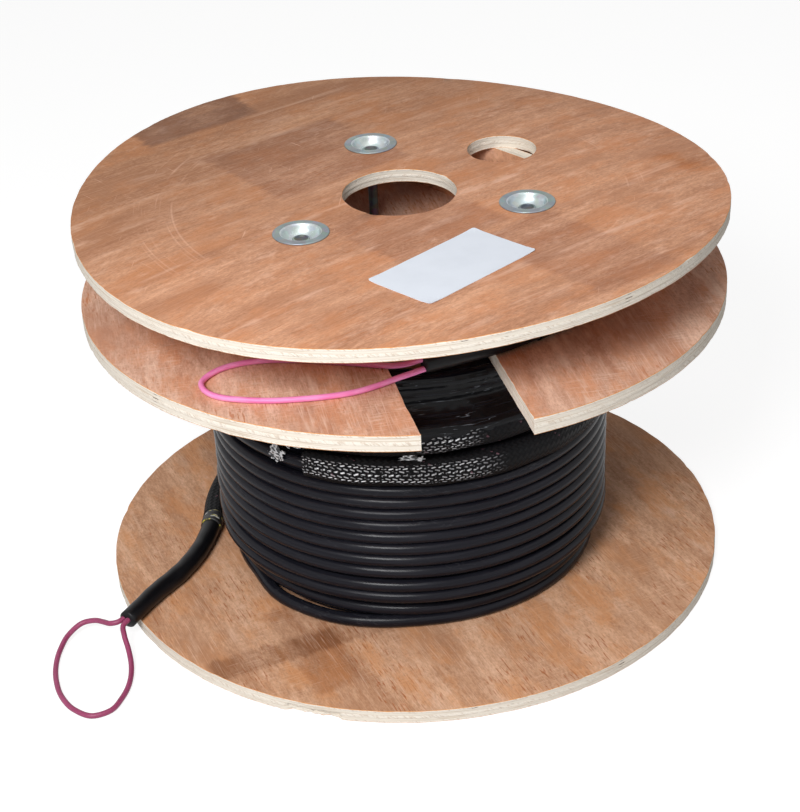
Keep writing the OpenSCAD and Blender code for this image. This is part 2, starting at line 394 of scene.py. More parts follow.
def place(
    name: str,
    patches: list[Patch],
    materials: list[Material],
    slot: Slot,
    nodes: tuple[str, ...] = (),
    sharp: float | None = None,
    weld: bool = False,
) -> Piece:
    """Makes one object of several patches, at the origin, riding on the drum.

    Args:
        name: the object's name.
        patches: parts of its mesh.
        materials: its materials, by number.
        slot: kind of material; not used.
        nodes: the solids that it stands for.
        sharp: angle in degrees past which an edge is sharp, or None.
        weld: whether points at one place are joined.

    Returns:
        The new object.
    """
    corners, totals, uvs, numbers, base = [], [], [], [], 0
    for patch in patches:
        for faces, uv in ((patch.quads, patch.quad_uv), (patch.tris, patch.tri_uv)):
            if len(faces):
                corners.append((faces + base).ravel())
                totals.append(np.full(len(faces), faces.shape[1]))
                uvs.append(uv.reshape(-1, 2))
                numbers.append(np.full(len(faces), patch.slot))
        base += len(patch.points)
    points = np.concatenate([patch.points for patch in patches])
    corner, total = np.concatenate(corners), np.concatenate(totals)
    if weld:
        _, first, again = np.unique(np.round(points * 1e6), axis=0, return_index=True, return_inverse=True)
        points, corner = points[first], again.ravel()[corner]
    mesh = bpy.data.meshes.new(name)
    mesh.vertices.add(len(points))
    mesh.vertices.foreach_set("co", points.ravel())
    mesh.loops.add(len(corner))
    mesh.loops.foreach_set("vertex_index", corner.astype(np.int32))
    mesh.polygons.add(len(total))
    mesh.polygons.foreach_set("loop_start", np.concatenate([[0], np.cumsum(total)[:-1]]).astype(np.int32))
    mesh.polygons.foreach_set("material_index", np.concatenate(numbers).astype(np.int32))
    mesh.uv_layers.new(name="lay").data.foreach_set("uv", np.concatenate(uvs).ravel())
    mesh.update(calc_edges=True)
    mesh.shade_smooth()
    if sharp is not None:
        mesh.set_sharp_from_angle(angle=math.radians(sharp))
    mesh.validate()
    for material in materials:
        mesh.materials.append(material)
    obj = link(name, mesh)
    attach(obj, "root")
    if nodes:
        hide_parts(*nodes)
    LOG.info("%s: %d points, %d faces", name, len(points), len(total))
    return obj


class Nodes:
    """Adds nodes to one tree; a value given for a socket is set, and a socket given is linked."""

    def __init__(self, tree: Tree) -> None:
        """Keeps the tree that the nodes go into."""
        self.tree = tree

    def put(self, socket: Socket, value: object) -> None:
        """Links a socket to the given one, or sets its value; a colour gets its alpha.

        Args:
            socket: input that takes the value.
            value: a socket, a number or a tuple.
        """
        if isinstance(value, Socket):
            self.tree.links.new(value, socket)
            return
        if socket.type == "RGBA" and len(value) == 3:
            value = (*value, 1.0)
        socket.default_value = value

    def add(self, kind: str, inputs: dict | None = None, **settings: object) -> bpy.types.Node:
        """Adds one node.

        Args:
            kind: the node's type.
            inputs: values or sockets by input name or number.
            settings: the node's own properties.

        Returns:
            The node.
        """
        node = self.tree.nodes.new(kind)
        for key, value in settings.items():
            setattr(node, key, value)
        for key, value in (inputs or {}).items():
            self.put(node.inputs[key], value)
        return node

    def math(self, operation: str, a: object, b: object = 0.0, c: object = 0.0) -> Socket:
        """Result of a Math node."""
        return self.add("ShaderNodeMath", {0: a, 1: b, 2: c}, operation=operation).outputs[0]

    def mul(self, a: object, b: object) -> Socket:
        """Product of two values."""
        return self.math("MULTIPLY", a, b)

    def plus(self, a: object, b: object) -> Socket:
        """Sum of two values."""
        return self.math("ADD", a, b)

    def minus(self, a: object, b: object) -> Socket:
        """Difference of two values."""
        return self.math("SUBTRACT", a, b)

    def madd(self, a: object, b: object, c: object) -> Socket:
        """Product of two values plus a third."""
        return self.math("MULTIPLY_ADD", a, b, c)

    def most(self, a: object, b: object) -> Socket:
        """Larger of two values."""
        return self.math("MAXIMUM", a, b)

    def size(self, a: object) -> Socket:
        """Value without its sign."""
        return self.math("ABSOLUTE", a)

    def fract(self, a: object) -> Socket:
        """Part of a value past its whole number."""
        return self.math("FRACT", a)

    def vector(self, operation: str, a: object, b: object = (0.0, 0.0, 0.0)) -> Socket:
        """Vector result of a Vector Math node."""
        return self.add("ShaderNodeVectorMath", {0: a, 1: b}, operation=operation).outputs["Vector"]

    def stretch(self, vector: object, scale: object) -> Socket:
        """Vector or colour times a factor on each axis."""
        return self.vector("MULTIPLY", vector, scale)

    def moved(self, vector: object, shift: object) -> Socket:
        """Vector plus a shift."""
        return self.vector("ADD", vector, shift)

    def join(self, x: object, y: object, z: object = 0.0) -> Socket:
        """Vector of three parts."""
        return self.add("ShaderNodeCombineXYZ", {0: x, 1: y, 2: z}).outputs[0]

    def split(self, vector: object) -> list[Socket]:
        """The three parts of a vector."""
        return list(self.add("ShaderNodeSeparateXYZ", {0: vector}).outputs)

    def mix(self, factor: object, a: object, b: object) -> Socket:
        """Colour mixed from two colours."""
        inputs = {0: factor, 6: a, 7: b}
        return self.add("ShaderNodeMix", inputs, data_type="RGBA").outputs[2]

    def noise(self, vector: object, scale: object, detail: float = 2.0, rough: float = 0.5) -> Socket:
        """Value of a Noise Texture."""
        inputs = {"Vector": vector, "Scale": scale, "Detail": detail, "Roughness": rough}
        return self.add("ShaderNodeTexNoise", inputs).outputs[0]

    def drawn(self, vector: object, scale: Triple, detail: float = 2.0, rough: float = 0.5) -> Socket:
        """Value of a Noise Texture with its own scale on each axis."""
        return self.noise(self.stretch(vector, scale), 1.0, detail, rough)

    def range(self, value: object, low: object, high: object, to_low: float = 0.0, to_high: float = 1.0) -> Socket:
        """Value taken smoothly from one range to another and held at its ends."""
        inputs = {"Value": value, "From Min": low, "From Max": high, "To Min": to_low, "To Max": to_high}
        return self.add("ShaderNodeMapRange", inputs, interpolation_type="SMOOTHSTEP").outputs[0]

    def place(self, turn: float = 0.0) -> Socket:
        """Object coordinates, turned about Z."""
        inputs = {"Vector": self.add("ShaderNodeTexCoord").outputs["Object"], "Rotation": (0.0, 0.0, turn)}
        return self.add("ShaderNodeMapping", inputs).outputs[0]

    def lay(self) -> Socket:
        """The piece's own UV map."""
        return self.add("ShaderNodeUVMap", uv_map="lay").outputs[0]

    def group(self, tree: Tree, **inputs: object) -> bpy.types.bpy_prop_collection:
        """Outputs of a node group placed with its own values."""
        return self.add("ShaderNodeGroup", inputs, node_tree=tree).outputs

    def bump(self, height: object, strength: float, distance: float) -> Socket:
        """Normal of a Bump node over a height."""
        inputs = {"Height": height, "Strength": strength, "Distance": distance}
        return self.add("ShaderNodeBump", inputs).outputs[0]

    def seen(self) -> Socket:
        """1 for camera, glossy and transmission rays, and 0 for the rest.

        Returns:
            The value.
        """
        ray = self.add("ShaderNodeLightPath").outputs
        direct = self.most(ray["Is Camera Ray"], ray["Is Glossy Ray"])
        return self.most(direct, ray["Is Transmission Ray"])


def empty_tree(owner: Material | bpy.types.World) -> Nodes:
    """Empties the node tree of a material or world.

    Args:
        owner: what the tree belongs to.

    Returns:
        The helper for its nodes.
    """
    owner.use_nodes = True
    owner.node_tree.nodes.clear()
    return Nodes(owner.node_tree)


def tinted(colour: Colour, times: float, plus: float = 0.0) -> Colour:
    """Colour times a factor plus a lift, held at white."""
    return tuple(min(1.0, times * c + plus) for c in colour)


VALUE, COLOUR, VECTOR = "NodeSocketFloat", "NodeSocketColor", "NodeSocketVector"


def start_group(name: str, inputs: list[tuple[str, str, object]], outputs: list[tuple[str, str]]) -> tuple:
    """New shader node group.

    Args:
        name: the group's name.
        inputs: name, socket type and default of each input.
        outputs: name and socket type of each output.

    Returns:
        The tree, its helper, the inputs by name and the output node.
    """
    tree = bpy.data.node_groups.new(name, "ShaderNodeTree")
    for label, kind, default in inputs:
        socket = tree.interface.new_socket(name=label, in_out="INPUT", socket_type=kind)
        if default is not None:
            socket.default_value = default
    for label, kind in outputs:
        tree.interface.new_socket(name=label, in_out="OUTPUT", socket_type=kind)
    nodes = Nodes(tree)
    return tree, nodes, nodes.add("NodeGroupInput").outputs, nodes.add("NodeGroupOutput")


@cache
def wood_grain() -> Tree:
    """Node group of wood grain along X: broad bands, streaks and hairs, and short coloured fibres.

    Returns:
        The group.
    """
    tree, n, given, out = start_group(
        "wood_grain",
        [("Vector", VECTOR, None), ("Dark", COLOUR, (0.3, 0.1, 0.05, 1)), ("Light", COLOUR, (0.6, 0.3, 0.2, 1)),
         ("Fibre", COLOUR, (0.5, 0.15, 0.05, 1)), ("Fibres", VALUE, 0.5), ("Contrast", VALUE, 1.0)],
        [("Color", COLOUR), ("Height", VALUE)],
    )
    drift = n.drawn(given["Vector"], (6, 12, 6))
    v = n.moved(given["Vector"], n.join(0.0, n.madd(drift, 0.010, -0.005)))
    broad = n.drawn(v, (5, 48, 5), 4, 0.6)
    streak = n.drawn(v, (80, 300, 80), 4, 0.65)
    hair = n.drawn(v, (400, 1000, 400))
    total = n.madd(broad, 2.2, n.madd(streak, 1.5, n.mul(hair, 1.1)))
    tone = n.madd(n.minus(total, 2.4), given["Contrast"], 0.5)
    colour = n.mix(n.add("ShaderNodeClamp", {0: tone}).outputs[0], given["Dark"], given["Light"])
    fibre = n.drawn(n.moved(v, (0.37, 0.61, 0.0)), (110, 800, 110), 1, 0.4)
    fibre = n.mul(n.range(fibre, 0.57, 0.7), n.range(n.noise(v, 22.0), 0.38, 0.62))
    n.put(out.inputs["Color"], n.mix(n.mul(fibre, given["Fibres"]), colour, given["Fibre"]))
    n.put(out.inputs["Height"], n.madd(fibre, -0.4, n.madd(streak, 0.6, n.mul(hair, 0.6))))
    return tree


@cache
def sanding_hatch() -> Tree:
    """Node group of a sanding hatch: fine pale lines along Y and along X, in patches.

    Returns:
        The group.
    """
    inputs = [("Vector", VECTOR, None), ("Across", VALUE, 0.5), ("Along", VALUE, 0.5)]
    tree, n, given, out = start_group("sanding_hatch", inputs, [("Mask", VALUE)])
    across = n.range(n.drawn(given["Vector"], (1250, 70, 1)), 0.50, 0.74)
    along = n.range(n.drawn(given["Vector"], (45, 1250, 1)), 0.50, 0.74)
    where = n.range(n.noise(given["Vector"], 17.0, 3), 0.40, 0.62)
    there = n.range(n.noise(n.moved(given["Vector"], (0.4, 0.9, 0.0)), 14.0, 3), 0.34, 0.58)
    across = n.mul(n.mul(across, where), given["Across"])
    along = n.mul(n.mul(along, there), given["Along"])
    n.put(out.inputs["Mask"], n.most(across, along))
    return tree


@cache
def veneer_block() -> Tree:
    """Node group of a straight-edged area: 1 where the way from its middle is within its half-sizes.

    Returns:
        The group.
    """
    inputs = [("Vector", VECTOR, None), ("Middle", VECTOR, None), ("Half", VECTOR, None), ("Soft", VALUE, 0.003)]
    tree, n, given, out = start_group("veneer_block", inputs, [("Mask", VALUE)])
    away = n.vector("ABSOLUTE", n.vector("SUBTRACT", given["Vector"], given["Middle"]))
    over_x, over_y, _ = n.split(n.vector("SUBTRACT", away, given["Half"]))
    fray = n.madd(n.drawn(given["Vector"], (40, 260, 1), 3), 0.012, -0.006)
    low = n.mul(given["Soft"], -1.0)
    in_x = n.range(n.plus(over_x, fray), given["Soft"], low)
    in_y = n.range(n.madd(fray, 0.4, over_y), given["Soft"], low)
    n.put(out.inputs["Mask"], n.mul(in_x, in_y))
    return tree


@cache
def scuffs() -> Tree:
    """Node group of scuffs: broken fine lines, where noise crosses its middle inside larger patches.

    Returns:
        The group.
    """
    inputs = [("Vector", VECTOR, None), ("Scale", VALUE, 60.0), ("Share", VALUE, 0.5)]
    tree, n, given, out = start_group("scuff", inputs, [("Mask", VALUE)])
    line = n.range(n.size(n.minus(n.noise(given["Vector"], given["Scale"], 3.0), 0.5)), 0.012, 0.0)
    where = n.range(n.noise(given["Vector"], 14.0), 0.5, 0.62)
    n.put(out.inputs["Mask"], n.mul(line, n.mul(where, given["Share"])))
    return tree


@dataclass(frozen=True)
class Block:
    """Straight-edged area of a finish, in its own two coordinates."""

    middle: tuple[float, float]
    half: tuple[float, float]
    amount: float
    tone: Colour
    soft: float = 0.003

    def mask(self, n: Nodes, vector: Socket) -> Socket:
        """1 inside the area, and 0 outside."""
        inputs = {"Middle": (*self.middle, 0.0), "Half": (*self.half, 0.0), "Soft": self.soft}
        return n.group(veneer_block(), Vector=vector, **inputs)["Mask"]


class Finish:
    """Finish of a piece: a Principled shader whose inputs each kind of finish gives."""

    name: str

    def inputs(self, n: Nodes) -> Inputs:
        """Values or sockets for the shader's inputs, by name."""
        raise NotImplementedError

    def make(self) -> Material:
        """Builds the material.

        Returns:
            The material.
        """
        material = bpy.data.materials.new(self.name)
        n = empty_tree(material)
        shader = n.add("ShaderNodeBsdfPrincipled", self.inputs(n))
        n.add("ShaderNodeOutputMaterial", {"Surface": shader.outputs[0]})
        return material


@dataclass(frozen=True)
class Veneer(Finish):
    """Face of a flange: reddish rotary-cut veneer with its grain at one angle, its stains and its sanding marks, and
    when asked, painted shade that darkens it towards the back and the left.

    A block's middle and half-sizes are metres along and across the grain, and its tone multiplies the colour.
    """

    name: str
    grain_at: float
    dark: Colour = (0.42, 0.188, 0.100)
    light: Colour = (0.76, 0.405, 0.245)
    fibre: Colour = (0.54, 0.178, 0.060)
    fibres: float = 0.4
    contrast: float = 0.95
    across: float = 0.08
    along: float = 0.14
    wool: float = 0.3
    orange: Colour = (0.64, 0.268, 0.122)
    # Tint and strength of the painted shade towards the back and the left.
    back_shade_tint: Colour = (0.60, 0.61, 0.56)
    age: float = 0.0
    shift: tuple[float, float, float] = (0.0, 0.0, 0.0)
    blocks: tuple[Block, ...] = ()
    rings: float = 0.0

    def inputs(self, n: Nodes) -> Inputs:
        """Grain, clouds, painted shade towards the back and left, stains by their places, sanding hatch, scratches, and
        marks left by stacking.

        Args:
            n: the material's nodes.

        Returns:
            The shader's inputs.
        """
        level = n.place(-math.radians(self.grain_at))
        place = n.moved(level, self.shift)
        grain = n.group(wood_grain(), Vector=place, Dark=self.dark, Light=self.light, Fibre=self.fibre,
                        Fibres=self.fibres, Contrast=self.contrast)
        cloud = n.drawn(place, (9, 26, 9), 5, 0.65)
        fleece = n.drawn(n.moved(place, (0.2, 0.5, 0.0)), (20, 38, 20), 5, 0.65)
        colour = n.mix(n.range(fleece, 0.44, 0.64, 0.0, 0.75), grain["Color"], self.orange)
        colour = n.mix(n.range(cloud, 0.46, 0.70, 0.0, 0.7), colour, self.dark)
        pore = n.drawn(place, (420, 900, 420), 2, 0.6)
        colour = n.mix(n.range(pore, 0.52, 0.72, 0.0, 0.5), colour, self.dark)
        pale = tinted(self.light, 0.95, 0.22)
        wool = n.drawn(n.moved(place, (0.7, 0.1, 0.0)), (70, 170, 70), 4, 0.7)
        wool = n.mul(n.range(wool, 0.50, 0.70, 0.0, self.wool), n.range(cloud, 0.62, 0.42))
        dust = n.drawn(n.moved(place, (0.1, 0.8, 0.0)), (4, 75, 4), 3, 0.6)
        dust = n.range(dust, 0.54, 0.68, 0.0, 1.4 * self.wool)
        dust = n.mul(dust, n.range(n.drawn(place, (45, 120, 45), 3, 0.6), 0.40, 0.62))
        colour = n.mix(n.most(wool, dust), colour, pale)
        x, y, _ = n.split(n.place(VIEW_TURN))
        # Painted shade: the colour darkens towards the back and the left of the face, where the light falls off.
        if self.age:
            side = n.madd(fleece, 0.12, n.madd(y, 0.75, n.mul(x, -0.66)))
            colour = n.mix(n.range(side, 0.0, 0.24, 0.0, self.age), colour, n.stretch(colour, self.back_shade_tint))
        for block in self.blocks:
            uneven = n.range(fleece, 0.36, 0.58, 0.5 * block.amount, block.amount)
            colour = n.mix(n.mul(block.mask(n, level), uneven), colour, n.stretch(colour, block.tone))
        hatch = n.group(sanding_hatch(), Vector=place, Across=self.across, Along=self.along)["Mask"]
        colour = n.mix(hatch, colour, pale)
        for turn, shift in ((-1.25, 0.0), (-2.1, 3.0)):
            scratch = n.drawn(n.moved(n.place(turn), (shift, shift, 0.0)), (42, 900, 1), 1)
            colour = n.mix(n.range(scratch, 0.735, 0.86, 0.0, 0.4), colour, pale)
        if self.rings:
            colour = n.mix(n.mul(self.stacking(n, x, y), self.rings), colour, pale)
        return {"Base Color": colour, "Roughness": n.range(grain["Height"], 0.2, 0.9, 0.75, 0.6),
                "Normal": n.bump(grain["Height"], 0.3, 0.0005), "Specular IOR Level": 0.25}

    @staticmethod
    def stacking(n: Nodes, x: Socket, y: Socket) -> Socket:
        """Mask of the rings that a stacked drum left: faint ones in a band, and one bold ring.

        Args:
            n: the material's nodes.
            x: place to the right in the photograph's axes.
            y: place away from the camera.

        Returns:
            The mask.
        """
        r = n.math("SQRT", n.plus(n.mul(x, x), n.mul(y, y)))
        faint = n.range(n.noise(n.join(n.mul(r, 620.0), n.mul(y, 9.0)), 1.0, 1), 0.56, 0.72)
        bold = n.range(n.size(n.minus(r, 0.1392)), 0.0009, 0.0002)
        band = n.mul(n.range(r, 0.136, 0.140), n.range(r, 0.170, 0.160))
        mask = n.mul(n.most(n.mul(faint, band), bold), n.range(n.size(x), 0.085, 0.125))
        return n.mul(mask, n.range(n.noise(n.place(), 26.0, 3), 0.44, 0.6))


@dataclass(frozen=True)
class PlyEdge(Finish):
    """Cut edge of plywood: five plies, across which end grain and long grain take turns round the disc."""

    name: str
    grain_at: float
    pale: Colour = (0.78, 0.715, 0.625)
    brown: Colour = (0.49, 0.36, 0.25)
    skin: Colour = (0.72, 0.31, 0.09)
    gap: Colour = (0.10, 0.055, 0.035)

    def inputs(self, n: Nodes) -> Inputs:
        """Ply bands from the UV's height, with end grain where a ply's grain meets the edge.

        Args:
            n: the material's nodes.

        Returns:
            The shader's inputs.
        """
        along, height, _ = n.split(n.lay())
        ramp = n.add("ShaderNodeValToRGB", {0: height})
        ramp.color_ramp.interpolation = "CONSTANT"
        stops = ((0.0, 0.0), (0.14, 1.0), (0.38, 0.0), (0.62, 1.0), (0.86, 0.0))
        while len(ramp.color_ramp.elements) < len(stops):
            ramp.color_ramp.elements.new(0.5)
        for element, (at, shade) in zip(ramp.color_ramp.elements, stops):
            element.position = at
            element.color = (shade, shade, shade, 1)
        level = n.vector("NORMALIZE", n.stretch(n.place(-math.radians(self.grain_at)), (1, 1, 0)))
        x, _, _ = n.split(level)
        end = n.size(n.minus(n.mul(x, x), ramp.outputs["Color"]))
        high = n.mul(height, PLY)
        lay = n.join(along, high)
        long_grain = n.drawn(lay, (28, 1500, 1), 3)
        dash = n.drawn(n.join(n.madd(high, 1.1, along), high), (620, 330, 1), 2, 0.6)
        speckle = n.drawn(lay, (1300, 1500, 1))
        tone = n.mix(n.range(long_grain, 0.50, 0.66, 0.0, 0.6), self.pale, self.brown)
        dots = n.mix(n.range(dash, 0.48, 0.68, 0.0, 0.5), tinted(self.pale, 1.0, 0.06), self.brown)
        colour = n.mix(n.range(end, 0.35, 0.8), tone, dots)
        seam = n.size(n.minus(n.fract(n.madd(height, 4.1667, 0.4167)), 0.5))
        colour = n.mix(n.range(seam, 0.45, 0.49, 0.0, 0.5), colour, self.brown)
        hole = n.range(n.drawn(lay, (60, 60, 1), 1), 0.715, 0.75)
        gap = n.mul(n.range(seam, 0.38, 0.46), hole)
        colour = n.mix(gap, colour, self.gap)
        fray = n.madd(n.drawn(lay, (160, 1, 1), 3), 0.05, n.size(n.minus(height, 0.5)))
        rough = n.madd(n.plus(dash, speckle), end, n.mul(long_grain, 0.4))
        return {"Base Color": n.mix(n.range(fray, 0.484, 0.502), colour, self.skin), "Roughness": 0.82,
                "Specular IOR Level": 0.2, "Normal": n.bump(n.minus(rough, gap), 0.55, 0.0006)}


@dataclass(frozen=True)
class RawWood(Finish):
    """Sawn wood of the staves, its grain upright."""

    name: str
    dark: Colour
    light: Colour

    def inputs(self, n: Nodes) -> Inputs:
        """The shared grain, turned upright.

        Args:
            n: the material's nodes.

        Returns:
            The shader's inputs.
        """
        x, y, z = n.split(n.place())
        grain = n.group(wood_grain(), Vector=n.join(z, y, x), Dark=self.dark, Light=self.light, Fibres=0.4)
        return {"Base Color": grain["Color"], "Roughness": 0.75, "Normal": n.bump(grain["Height"], 0.4, 0.0006)}


@dataclass(frozen=True)
class Zinc(Finish):
    """Zinc-plated steel: grey-blue metal with soft spangles and a dull film."""

    name: str
    base: Colour
    gloss: float = 0.3

    def inputs(self, n: Nodes) -> Inputs:
        """Spangle cells and fine scuffs over a soft mottle.

        Args:
            n: the material's nodes.

        Returns:
            The shader's inputs.
        """
        place = n.place()
        cell = n.add("ShaderNodeTexVoronoi", {"Vector": place, "Scale": 260.0}).outputs["Color"]
        tone = n.noise(place, 90.0, 3)
        colour = n.mix(0.05, n.mix(n.range(tone, 0.3, 0.75), tinted(self.base, 0.78), self.base), cell)
        scuff = n.group(scuffs(), Vector=place, Scale=220.0, Share=0.5)["Mask"]
        return {"Base Color": n.mix(scuff, colour, tinted(self.base, 1.5)), "Metallic": 0.9,
                "Roughness": n.range(tone, 0.25, 0.8, self.gloss, self.gloss + 0.2),
                "Normal": n.bump(tone, 0.15, 0.0003)}


@dataclass(frozen=True)
class Jacket(Finish):
    """Smooth plastic jacket: near black, with soft handling marks."""

    name: str
    base: Colour
    worn: Colour
    gloss: float = 0.36
    shine: float = 0.4
    scuffed: Colour = (0.09, 0.09, 0.10)

    def inputs(self, n: Nodes) -> Inputs:
        """Marks from noise drawn out along the piece, by its UV, and light scuffs.

        Args:
            n: the material's nodes.

        Returns:
            The shader's inputs.
        """
        lay = n.stretch(n.lay(), (1, 0.026, 0))
        mark = n.drawn(lay, (30, 420, 1), 3)
        grit = n.drawn(lay, (900, 900, 1))
        colour = n.mix(n.range(mark, 0.4, 0.8), self.base, self.worn)
        scuff = n.group(scuffs(), Vector=n.stretch(lay, (0.3, 1, 1)), Scale=160.0, Share=0.22)["Mask"]
        return {"Base Color": n.mix(scuff, colour, self.scuffed), "Specular IOR Level": self.shine,
                "Roughness": n.range(mark, 0.3, 0.8, self.gloss - 0.04, self.gloss + 0.12),
                "Normal": n.bump(n.madd(mark, 0.6, grit), 0.1, 0.0003)}


@dataclass(frozen=True)
class Braid(Finish):
    """Open polyester braid: two sets of flat strands that cross, one over the other in turn.

    A glint's middle and half-sizes are metres along by turns round from the outer face. The upper strands get a
    painted highlight in it.
    """

    name: str
    strands: float = 19.0
    pitch: float = 298.0
    glints: tuple[Block, ...] = ()
    shadow: Colour = (0.0012, 0.0012, 0.0016)
    strand: Colour = (0.0055, 0.0055, 0.0066)
    tracer: Colour = (0.26, 0.12, 0.16)

    def inputs(self, n: Nodes) -> Inputs:
        """Diagonal bands p and q of the UV, with p above where the cell sum is even, and painted highlight dashes on
        the upper strands in the glint areas.

        Args:
            n: the material's nodes.

        Returns:
            The shader's inputs.
        """
        along, turn, _ = n.split(n.lay())
        a, b = n.mul(along, self.pitch), n.mul(turn, self.strands)
        p, q = n.plus(a, b), n.minus(a, b)
        ridge_p, ridge_q = (n.size(n.math("SINE", n.mul(band, math.pi))) for band in (p, q))
        over = n.math("PINGPONG", n.plus(n.math("FLOOR", p), n.math("FLOOR", q)), 1.0)
        under = n.minus(1.0, over)
        height = n.plus(n.mul(ridge_p, over), n.mul(ridge_q, under))
        fibre = n.drawn(n.lay(), (2200, 90, 1), 1)
        tone = n.mix(height, self.shadow, self.strand)
        spot = n.join(along, n.minus(n.fract(n.plus(turn, 0.5)), 0.5))
        part_p, part_q = n.fract(p), n.fract(q)
        span = n.size(n.minus(n.plus(part_p, part_q), 1.0))
        upper, lower = self.slim(n, part_p, part_q), self.slim(n, part_q, part_p)
        dash = n.plus(n.mul(upper, under), n.mul(lower, n.mul(over, 0.5)))
        dash = n.mul(dash, n.range(span, 0.80, 0.52))
        dash = n.mul(dash, n.range(n.drawn(n.lay(), (330, 50, 1), 1), 0.38, 0.54))
        # Painted highlight: in each glint area the upper strands' dashes take the glint's light colour.
        for glint in self.glints:
            tone = n.mix(n.mul(n.mul(dash, glint.mask(n, spot)), glint.amount), tone, glint.tone)
        every = n.math("LESS_THAN", n.fract(n.mul(n.math("FLOOR", p), 0.1)), 0.09)
        tracer = n.mul(n.mul(every, over), n.range(height, 0.75, 0.95))
        seldom = n.range(n.drawn(n.lay(), (120, 12, 1), 1), 0.5, 0.6, 0.0, 0.4)
        return {"Base Color": n.mix(n.mul(tracer, seldom), tone, self.tracer), "Specular IOR Level": 0.08,
                "Roughness": n.range(fibre, 0.3, 0.7, 0.42, 0.55),
                "Normal": n.bump(n.madd(fibre, 0.15, height), 0.35, 0.0008)}

    @staticmethod
    def slim(n: Nodes, near: Socket, far: Socket) -> Socket:
        """Slim bar across a cell, tilted towards the first of the two cell coordinates."""
        offset = n.minus(n.mul(near, 0.75), n.madd(far, 1.25, -0.25))
        return n.range(n.size(offset), 0.28, 0.13)


@dataclass(frozen=True)
class Satin(Finish):
    """Coloured satin sheath of a loop, with faint lengthwise shade and dust."""

    name: str
    base: Colour
    shade: Colour
    gloss: float = 0.45

    def inputs(self, n: Nodes) -> Inputs:
        """Lengthwise shade, ribs and scuffs on the piece's UV.

        Args:
            n: the material's nodes.

        Returns:
            The shader's inputs.
        """
        lay = n.lay()
        tone = n.drawn(lay, (70, 3, 1), 3)
        rib = n.drawn(lay, (900, 2, 1), 1)
        colour = n.mix(n.range(tone, 0.35, 0.75), self.base, self.shade)
        scuff = n.group(scuffs(), Vector=n.stretch(lay, (1, 0.012, 1)), Scale=200.0, Share=0.2)["Mask"]
        return {"Base Color": n.mix(scuff, colour, tinted(self.base, 0.6)), "Normal": n.bump(rib, 0.15, 0.0003),
                "Roughness": n.range(tone, 0.3, 0.8, self.gloss, self.gloss + 0.15)}


@dataclass(frozen=True)
class Paper(Finish):
    """Smooth white label paper with a soft mottle."""

    name: str = "blank_paper"
    base: Colour = (0.765, 0.808, 0.885)

    def inputs(self, n: Nodes) -> Inputs:
        """Mottle and fibres on Object coordinates.

        Args:
            n: the material's nodes.

        Returns:
            The shader's inputs.
        """
        place = n.place()
        mottle = n.noise(place, 55.0, 3)
        fibre = n.noise(place, 1500.0)
        colour = n.mix(n.range(mottle, 0.35, 0.75), self.base, tinted(self.base, 0.965))
        return {"Base Color": colour, "Roughness": n.range(mottle, 0.3, 0.7, 0.5, 0.6),
                "Normal": n.bump(n.madd(mottle, 2.0, fibre), 0.1, 0.0004)}


@dataclass(frozen=True)
class Tape(Finish):
    """Wound black tape with a few whitish and yellow scraps on it."""

    name: str = "wound_tape"
    black: Colour = (0.012, 0.012, 0.013)
    white: Colour = (0.62, 0.62, 0.58)
    yellow: Colour = (0.46, 0.40, 0.05)
    fold: Colour = (0.03, 0.03, 0.03)

    def inputs(self, n: Nodes) -> Inputs:
        """Scraps and folds on the piece's UV.

        Args:
            n: the material's nodes.

        Returns:
            The shader's inputs.
        """
        lay = n.lay()
        scrap = n.drawn(lay, (300, 5, 1))
        hue = n.drawn(lay, (500, 4, 1), 1)
        fold = n.drawn(lay, (900, 9, 1), 3)
        bright = n.mix(n.range(hue, 0.5, 0.56), self.white, self.yellow)
        colour = n.mix(n.range(scrap, 0.54, 0.6), self.black, bright)
        return {"Base Color": n.mix(n.range(fold, 0.55, 0.75), colour, self.fold), "Roughness": 0.5,
                "Normal": n.bump(fold, 0.6, 0.0008)}


@dataclass(frozen=True)
class Film(Finish):
    """Drawn film over black turns: smooth and glossy, with a painted bluish sheen along its streaks, torn to a ragged
    edge.
    """

    name: str = "drawn_film"
    black: Colour = (0.0028, 0.0028, 0.0036)
    # Colour of the painted sheen along the streaks.
    sheen_blue: Colour = (0.008, 0.009, 0.014)
    scuffed: Colour = (0.20, 0.22, 0.25)

    def inputs(self, n: Nodes) -> Inputs:
        """Painted bluish sheen along streaks of the UV's length, and an edge torn by noise where the UV ends.

        Args:
            n: the material's nodes.

        Returns:
            The shader's inputs.
        """
        along, up, _ = n.split(n.lay())
        lay = n.lay()
        streak = n.drawn(lay, (3.0, 26.0, 1), 3, 0.6)
        fold = n.drawn(lay, (6.0, 11.0, 1))
        # Painted sheen: the streaks are bluish in place of the film's reflections.
        colour = n.mix(n.range(streak, 0.48, 0.72), self.black, self.sheen_blue)
        scuff = n.group(scuffs(), Vector=n.stretch(lay, (0.9, 2.2, 1)), Scale=4.0, Share=0.5)["Mask"]
        torn = n.madd(n.drawn(lay, (14.0, 5.0, 1), 3), 0.36, up)
        side = n.mul(n.mul(along, n.minus(1.0, along)), 4.0)
        kept = n.mul(n.math("GREATER_THAN", torn, 0.36), n.math("GREATER_THAN", side, 0.05))
        return {"Base Color": n.mix(scuff, colour, self.scuffed), "Specular IOR Level": 0.16, "Alpha": kept,
                "Roughness": n.range(streak, 0.3, 0.7, 0.16, 0.30),
                "Normal": n.bump(n.madd(streak, 0.3, fold), 0.35, 0.001)}


